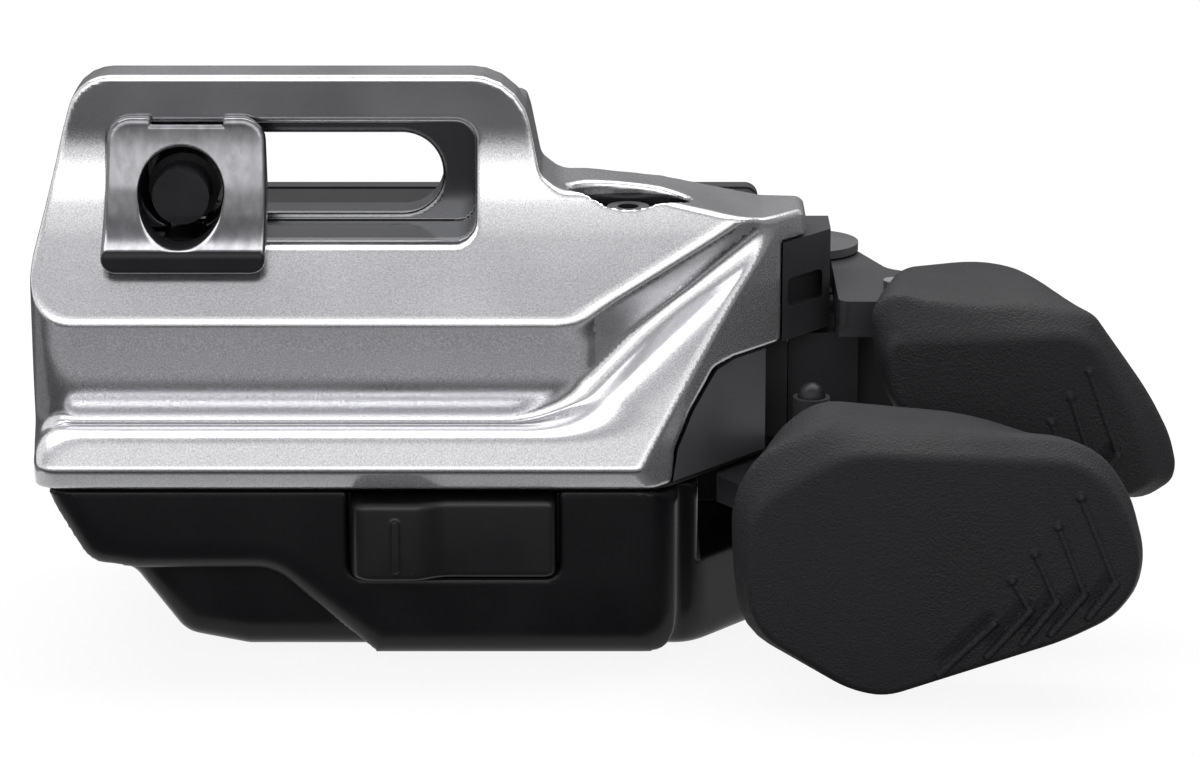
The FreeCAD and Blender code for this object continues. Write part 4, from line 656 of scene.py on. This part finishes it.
class Recipe:
    """A material's node tree, built around one shader."""

    def __init__(self, name, roughness, metallic=0.0, coat=0.0, specular=0.5):
        self.material = bpy.data.materials.new(name)
        self.material.use_nodes = True
        self.tree = self.material.node_tree
        self.shader = self.tree.nodes["Principled BSDF"]
        self.shader.inputs["Metallic"].default_value = metallic
        self.shader.inputs["Roughness"].default_value = roughness
        self.shader.inputs["Coat Weight"].default_value = coat
        self.shader.inputs["Coat Roughness"].default_value = COAT_ROUGHNESS
        self.shader.inputs["Specular IOR Level"].default_value = specular
        self.place = self.tree.nodes.new("ShaderNodeTexCoord").outputs["Object"]

    def link(self, start, end):
        self.tree.links.new(start, end)

    def noise(self, scale, detail=2.0, stretch=None):
        """Values of a noise whose grains are about 1 / scale metres; stretch scales it along each axis."""
        node = self.tree.nodes.new("ShaderNodeTexNoise")
        node.inputs["Scale"].default_value = scale
        node.inputs["Detail"].default_value = detail
        start = self.place
        if stretch:
            mapping = self.tree.nodes.new("ShaderNodeMapping")
            mapping.inputs["Scale"].default_value = stretch
            self.link(self.place, mapping.inputs["Vector"])
            start = mapping.outputs["Vector"]
        self.link(start, node.inputs["Vector"])
        return node.outputs["Fac"]

    def between(self, value, low, high, low_in=0.3, high_in=0.7):
        """The value's span from low_in to high_in, spread from low to high."""
        node = self.tree.nodes.new("ShaderNodeMapRange")
        node.inputs["From Min"].default_value = low_in
        node.inputs["From Max"].default_value = high_in
        node.inputs["To Min"].default_value = low
        node.inputs["To Max"].default_value = high
        self.link(value, node.inputs["Value"])
        return node.outputs["Result"]

    def mix(self, share, first, second):
        """A colour between two, each a colour or a socket."""
        node = self.tree.nodes.new("ShaderNodeMix")
        node.data_type = "RGBA"
        self.link(share, node.inputs["Factor"])
        for place, value in zip(MIX_COLOURS, (first, second)):
            if isinstance(value, bpy.types.NodeSocket):
                self.link(value, node.inputs[place])
            else:
                node.inputs[place].default_value = (*value, 1.0)
        return node.outputs[MIX_RESULT]

    def colour(self, value):
        self.link(value, self.shader.inputs["Base Color"])

    def roughness(self, value):
        self.link(value, self.shader.inputs["Roughness"])

    def bump(self, *layers):
        """Bumps laid over each other; each layer is a value, its strength and its height in metres."""
        normal = None
        for value, strength, height in layers:
            node = self.tree.nodes.new("ShaderNodeBump")
            node.inputs["Strength"].default_value = strength
            node.inputs["Distance"].default_value = height
            self.link(value, node.inputs["Height"])
            if normal:
                self.link(normal, node.inputs["Normal"])
            normal = node.outputs["Normal"]
        self.link(normal, self.shader.inputs["Normal"])

    def worn_and_highlit_edges(self, colour, edge_colour, low=0.52, high=0.6):
        """The colour, lighter where the surface turns sharply outwards: rubbed wear and a painted highlight.
        """
        geometry = self.tree.nodes.new("ShaderNodeNewGeometry")
        share = self.between(geometry.outputs["Pointiness"], 0.0, 0.5, low, high)
        return self.mix(share, colour, edge_colour)


def shade(colour, factor):
    return tuple(channel * factor for channel in colour)


def flake_paint(name, colour, metallic=1.0):
    """Silver paint with fine flakes under a clear coat."""
    recipe = Recipe(name, 0.22, metallic=metallic, coat=0.4)
    flakes = recipe.noise(10000.0, 1.0)
    clouds = recipe.noise(120.0, 2.0)
    base = recipe.mix(recipe.between(flakes, 0.0, 1.0), shade(colour, 0.82), shade(colour, 1.18))
    recipe.colour(base)
    recipe.roughness(recipe.between(clouds, 0.2, 0.25))
    recipe.bump((flakes, 0.03, 0.00002), (recipe.noise(700.0, 2.0), 0.01, 0.00003))
    return recipe.material


def brushed_metal(name, colour, roughness, stretch, strength=0.25):
    """Bare metal with fine scratches along one axis."""
    recipe = Recipe(name, roughness, metallic=1.0)
    scratches = recipe.noise(1500.0, 3.0, stretch)
    clouds = recipe.noise(300.0, 2.0)
    recipe.colour(recipe.mix(recipe.between(scratches, 0.0, 1.0), shade(colour, 0.8), shade(colour, 1.12)))
    recipe.roughness(recipe.between(clouds, roughness * 0.8, roughness * 1.25))
    recipe.bump((scratches, strength, 0.00002))
    return recipe.material


def moulded(name, colour, roughness, grain=2500.0, height=0.00004, strength=0.35, metallic=0.0, coat=0.0,
            specular=0.22, edge=1.6):
    """Moulded or coated surface: fine grain, faint clouding, and edges painted lighter as rubbed wear and
    painted highlight.
    """
    recipe = Recipe(name, roughness, metallic, coat, specular)
    fine = recipe.noise(grain, 2.0)
    clouds = recipe.noise(180.0, 3.0)
    base = recipe.mix(recipe.between(clouds, 0.0, 1.0), shade(colour, 0.85), shade(colour, 1.15))
    recipe.colour(recipe.worn_and_highlit_edges(base, shade(colour, edge)))
    recipe.roughness(recipe.between(clouds, roughness - 0.05, roughness + 0.06))
    recipe.bump((fine, strength, height), (recipe.noise(400.0, 2.0), 0.1, 0.00003))
    return recipe.material


def grained_rubber(name, colour):
    """Pad rubber with a fine sandy grain."""
    recipe = Recipe(name, 0.62, specular=0.3)
    grain = recipe.noise(6500.0, 2.0)
    specks = recipe.noise(8000.0, 1.0)
    clouds = recipe.noise(140.0, 3.0)
    base = recipe.mix(recipe.between(specks, 0.0, 1.0), shade(colour, 0.7), shade(colour, 1.35))
    base = recipe.mix(recipe.between(clouds, 0.0, 0.35), base, shade(colour, 1.5))
    # Edges painted lighter, as rubbed wear and a painted highlight.
    recipe.colour(recipe.worn_and_highlit_edges(base, shade(colour, 1.8), 0.5, 0.58))
    recipe.roughness(recipe.between(clouds, 0.56, 0.68))
    recipe.bump((grain, 0.8, 0.00012), (specks, 0.4, 0.00004))
    return recipe.material


MATERIALS = {
    "saddle_metal": brushed_metal("saddle_brushed", (0.2, 0.2, 0.21), 0.2, (1.0, 0.6, 0.6), 0.08),
    "black_steel": moulded("bolt_black", (0.014, 0.014, 0.016), 0.36, metallic=0.3, edge=2.5),
    "steel": brushed_metal("screw_steel", (0.5, 0.5, 0.51), 0.3, (1.0, 1.0, 0.3)),
    "cover_silver": flake_paint("cover_flake_paint", (0.66, 0.66, 0.68)),
    # Darker copy of the cover paint, painted as shade on the right side and under the nose.
    "side_shade_silver": flake_paint("cover_side_painted_shade", (0.36, 0.36, 0.375), 0.7),
    # Dark copy of the cover paint, painted as shade in the pocket, slot and screw recess.
    "pocket_shade_grey": flake_paint("cover_pocket_painted_shade", (0.16, 0.162, 0.17)),
    "seal_rubber": moulded("seal_rubber_black", (0.012, 0.012, 0.012), 0.6),
    "housing_black": moulded("housing_satin_black", (0.0045, 0.0045, 0.0055), 0.3, height=0.00002),
    "panel_grey": moulded("panel_satin_grey", (0.09, 0.09, 0.096), 0.4, metallic=0.6),
    "bracket_black": moulded("bracket_grained", (0.02, 0.02, 0.022), 0.45, grain=1800.0, height=0.00005),
    "board_green": moulded("board_lacquer", (0.015, 0.12, 0.05), 0.3, grain=900.0, coat=0.4, edge=1.1),
    "switch_black": moulded("switch_moulded", (0.02, 0.02, 0.02), 0.5),
    "holder_black": moulded("holder_moulded", (0.025, 0.025, 0.028), 0.5),
    "cell_nickel": brushed_metal("cell_nickel_plate", (0.66, 0.65, 0.62), 0.22, (1.0, 1.0, 1.0)),
    "contact_brass": brushed_metal("contact_strip", (0.72, 0.56, 0.26), 0.3, (0.15, 1.0, 1.0)),
    "door_black": moulded("door_satin_black", (0.018, 0.018, 0.02), 0.42),
    "arm_black": moulded("arm_powder_coat", (0.018, 0.018, 0.02), 0.4, grain=1500.0, height=0.00005,
                         edge=2.2),
    "bush_bronze": brushed_metal("bush_sintered", (0.16, 0.12, 0.08), 0.45, (1.0, 1.0, 1.0)),
    "pad_rubber": grained_rubber("pad_grained_rubber", (0.0065, 0.0065, 0.008)),
    "spring_steel": brushed_metal("spring_wire_steel", (0.12, 0.12, 0.125), 0.3, (1.0, 1.0, 0.2)),
    "button_black": moulded("button_satin_black", (0.007, 0.007, 0.008), 0.3, height=0.00002,
                            specular=0.35),
}
EDGE_SEGMENTS = 2
EDGE_ANGLE = math.radians(40)
EDGE_WIDTHS = {
    "side_bracket": 0.25, "upper_arm": 0.35, "lower_arm": 0.35, "battery_door": 0.4, "side_panel": 0.08,
    "pivot_cap": 0.25, "clamp_bolt": 0.2, "slide_washer": 0.2, "cover_screw": 0.12, "door_screws": 0.12,
}
REPLACED = (
    "top_cover", "cover_gasket", "clamp_saddle", "lower_housing", "function_button",
    "upper_pad", "lower_pad",
)


def dress_nodes():
    """Gives each CAD node that still shows its material, and those listed in EDGE_WIDTHS a small round on
    their edges.
    """
    slots = {part["node"]: part["material_slot"] for part in frame["record"]["subparts"]}
    for name, node in NODES.items():
        if name in REPLACED:
            continue
        node.data.materials.clear()
        node.data.materials.append(MATERIALS[slots[name]])
        if name in EDGE_WIDTHS:
            bevel = node.modifiers.new("edge_round", "BEVEL")
            bevel.width = EDGE_WIDTHS[name] * MM
            bevel.segments = EDGE_SEGMENTS
            bevel.limit_method = "ANGLE"
            bevel.angle_limit = EDGE_ANGLE
            bevel.harden_normals = True


# Camera, floor and light
CAMERA_TARGET = Vector((29.4, 0.0, -13.9)) * MM
CAMERA_DISTANCE = 0.32
CAMERA_ELEVATION = math.radians(16.0)
FLOOR_HEIGHT = -32.9 * MM
FLOOR_GREY = 0.86
FLOOR_GLOW = 0.9
CARD_LIFT = 0.0001
WORLD_LIGHT = 0.45
SENSOR_WIDTH = 36.0
FOCAL_LENGTH = 134.4


def make_camera():
    data = bpy.data.cameras.new("photo_camera")
    data.sensor_width = SENSOR_WIDTH
    data.lens = FOCAL_LENGTH
    data.clip_start = 0.01
    data.clip_end = 10.0
    camera = bpy.data.objects.new("photo_camera", data)
    away = Vector((0.0, -math.cos(CAMERA_ELEVATION), math.sin(CAMERA_ELEVATION)))
    camera.location = CAMERA_TARGET + away * CAMERA_DISTANCE
    camera.rotation_euler = (-away).to_track_quat("-Z", "Y").to_euler()
    bpy.context.scene.collection.objects.link(camera)
    bpy.context.scene.camera = camera


def add_lamp(name, place, target, size, radiance):
    """A soft rectangular lamp whose face has the given radiance."""
    data = bpy.data.lights.new(name, "AREA")
    data.shape = "RECTANGLE"
    data.size, data.size_y = size
    data.energy = radiance * math.pi * size[0] * size[1]
    lamp = bpy.data.objects.new(name, data)
    lamp.location = place
    lamp.rotation_euler = (Vector(target) - Vector(place)).to_track_quat("-Z", "Y").to_euler()
    lamp.visible_camera = False
    bpy.context.scene.collection.objects.link(lamp)


def background_share(tree):
    """1 for rays that show the background, 0 for those that only light the scene."""
    paths = tree.nodes.new("ShaderNodeLightPath")
    total = paths.outputs["Is Camera Ray"]
    for other in ("Is Glossy Ray", "Is Transmission Ray"):
        node = tree.nodes.new("ShaderNodeMath")
        node.operation = "MAXIMUM"
        tree.links.new(total, node.inputs[0])
        tree.links.new(paths.outputs[other], node.inputs[1])
        total = node.outputs[0]
    return total


def flat_plane(name, low, high, height):
    """A level rectangle of the stage between two corners."""
    mesh = bpy.data.meshes.new(name)
    corners = [(low[0], low[1], height), (high[0], low[1], height), (high[0], high[1], height),
               (low[0], high[1], height)]
    mesh.from_pydata(corners, [], [(0, 1, 2, 3)])
    plane = bpy.data.objects.new(name, mesh)
    bpy.context.scene.collection.objects.link(plane)
    return plane


def make_floor():
    """A white floor, which glows to the background's white where it is seen."""
    floor = flat_plane("studio_floor", (-2.0, -2.0), (2.0, 2.0), FLOOR_HEIGHT)
    material = bpy.data.materials.new("floor_white")
    material.use_nodes = True
    tree = material.node_tree
    tree.nodes.clear()
    diffuse = tree.nodes.new("ShaderNodeBsdfDiffuse")
    diffuse.inputs["Color"].default_value = (FLOOR_GREY, FLOOR_GREY, FLOOR_GREY, 1.0)
    glow = tree.nodes.new("ShaderNodeEmission")
    share = tree.nodes.new("ShaderNodeMath")
    share.operation = "MULTIPLY"
    share.inputs[1].default_value = FLOOR_GLOW
    tree.links.new(background_share(tree), share.inputs[0])
    mix = tree.nodes.new("ShaderNodeMixShader")
    tree.links.new(share.outputs[0], mix.inputs[0])
    tree.links.new(diffuse.outputs[0], mix.inputs[1])
    tree.links.new(glow.outputs[0], mix.inputs[2])
    output = tree.nodes.new("ShaderNodeOutputMaterial")
    tree.links.new(mix.outputs[0], output.inputs["Surface"])
    floor.data.materials.append(material)


def card_material(name, level):
    """A glow of one level of grey, very slightly blue."""
    material = bpy.data.materials.new(name)
    material.use_nodes = True
    tree = material.node_tree
    tree.nodes.clear()
    glow = tree.nodes.new("ShaderNodeEmission")
    glow.inputs["Color"].default_value = (level, level, level * 1.03, 1.0)
    output = tree.nodes.new("ShaderNodeOutputMaterial")
    tree.links.new(glow.outputs[0], output.inputs["Surface"])
    return material


def make_cards():
    """Grey cards that only reflections see: six on the floor, one above, and two upright ones."""
    height = FLOOR_HEIGHT + CARD_LIFT
    spans = {
        "card_near": ((-0.8, -0.085), (0.9, -0.045), height, 0.44),
        "card_under": ((-0.8, -0.045), (0.9, -0.012), height, 0.08),
        "card_front": ((-0.8, -0.9), (0.9, -0.085), height, 0.07),
        "card_back": ((-0.8, 0.04), (0.9, 0.9), height, 0.1),
        "card_left": ((-0.8, -0.012), (-0.03, 0.04), height, 0.2),
        "card_right": ((0.085, -0.012), (0.9, 0.04), height, 0.3),
        "card_above": ((-0.6, -0.165), (0.7, -0.05), 0.3, 0.5),
    }
    for name, (low, high, place, level) in spans.items():
        card = flat_plane(name, low, high, place)
        card.data.materials.append(card_material(name, level))
    rear = flat_plane("card_rear", (-0.7, 0.0), (0.8, 0.26), 0.0)
    rear.rotation_euler = (math.radians(90), 0.0, 0.0)
    rear.location = (0.0, 0.6, FLOOR_HEIGHT)
    rear.data.materials.append(card_material("card_rear", 0.2))
    side = flat_plane("card_side", (-0.25, 0.0), (0.25, 0.3), 0.0)
    side.rotation_euler = (math.radians(90), 0.0, math.radians(-50))
    side.location = (0.45, -0.12, FLOOR_HEIGHT)
    side.data.materials.append(card_material("card_side", 0.42))
    for name in (*spans, "card_rear", "card_side"):
        card = bpy.data.objects[name]
        card.visible_camera = False
        card.visible_diffuse = False
        card.visible_shadow = False
        card.visible_transmission = False


def make_world():
    """A white background that lights the scene at WORLD_LIGHT."""
    world = bpy.data.worlds.new("studio_world")
    bpy.context.scene.world = world
    world.use_nodes = True
    tree = world.node_tree
    share = tree.nodes.new("ShaderNodeMapRange")
    tree.links.new(background_share(tree), share.inputs["Value"])
    share.inputs["To Min"].default_value = WORLD_LIGHT
    share.inputs["To Max"].default_value = 1.0
    tree.links.new(share.outputs["Result"], tree.nodes["Background"].inputs["Strength"])
    tree.nodes["Background"].inputs["Color"].default_value = (1.0, 1.0, 1.0, 1.0)


def make_lamps():
    add_lamp("lamp_top", (0.02, 0.1, 0.34), (0.03, 0.02, -0.01), (0.6, 0.28), 4.2)
    add_lamp("lamp_front", (0.0, -0.5, 0.235), (0.03, 0.0, -0.01), (0.9, 0.3), 1.5)


top_cover(MATERIALS["cover_silver"], MATERIALS["pocket_shade_grey"], MATERIALS["side_shade_silver"])
clamp_saddle(MATERIALS["saddle_metal"], MATERIALS["black_steel"])
cover_seal(MATERIALS["seal_rubber"])
lower_housing(MATERIALS["housing_black"])
function_button(MATERIALS["button_black"])
thumb_pads(MATERIALS["pad_rubber"])
dress_nodes()
make_camera()
make_floor()
make_cards()
make_world()
make_lamps()
bpy.context.scene.view_settings.view_transform = "Standard"
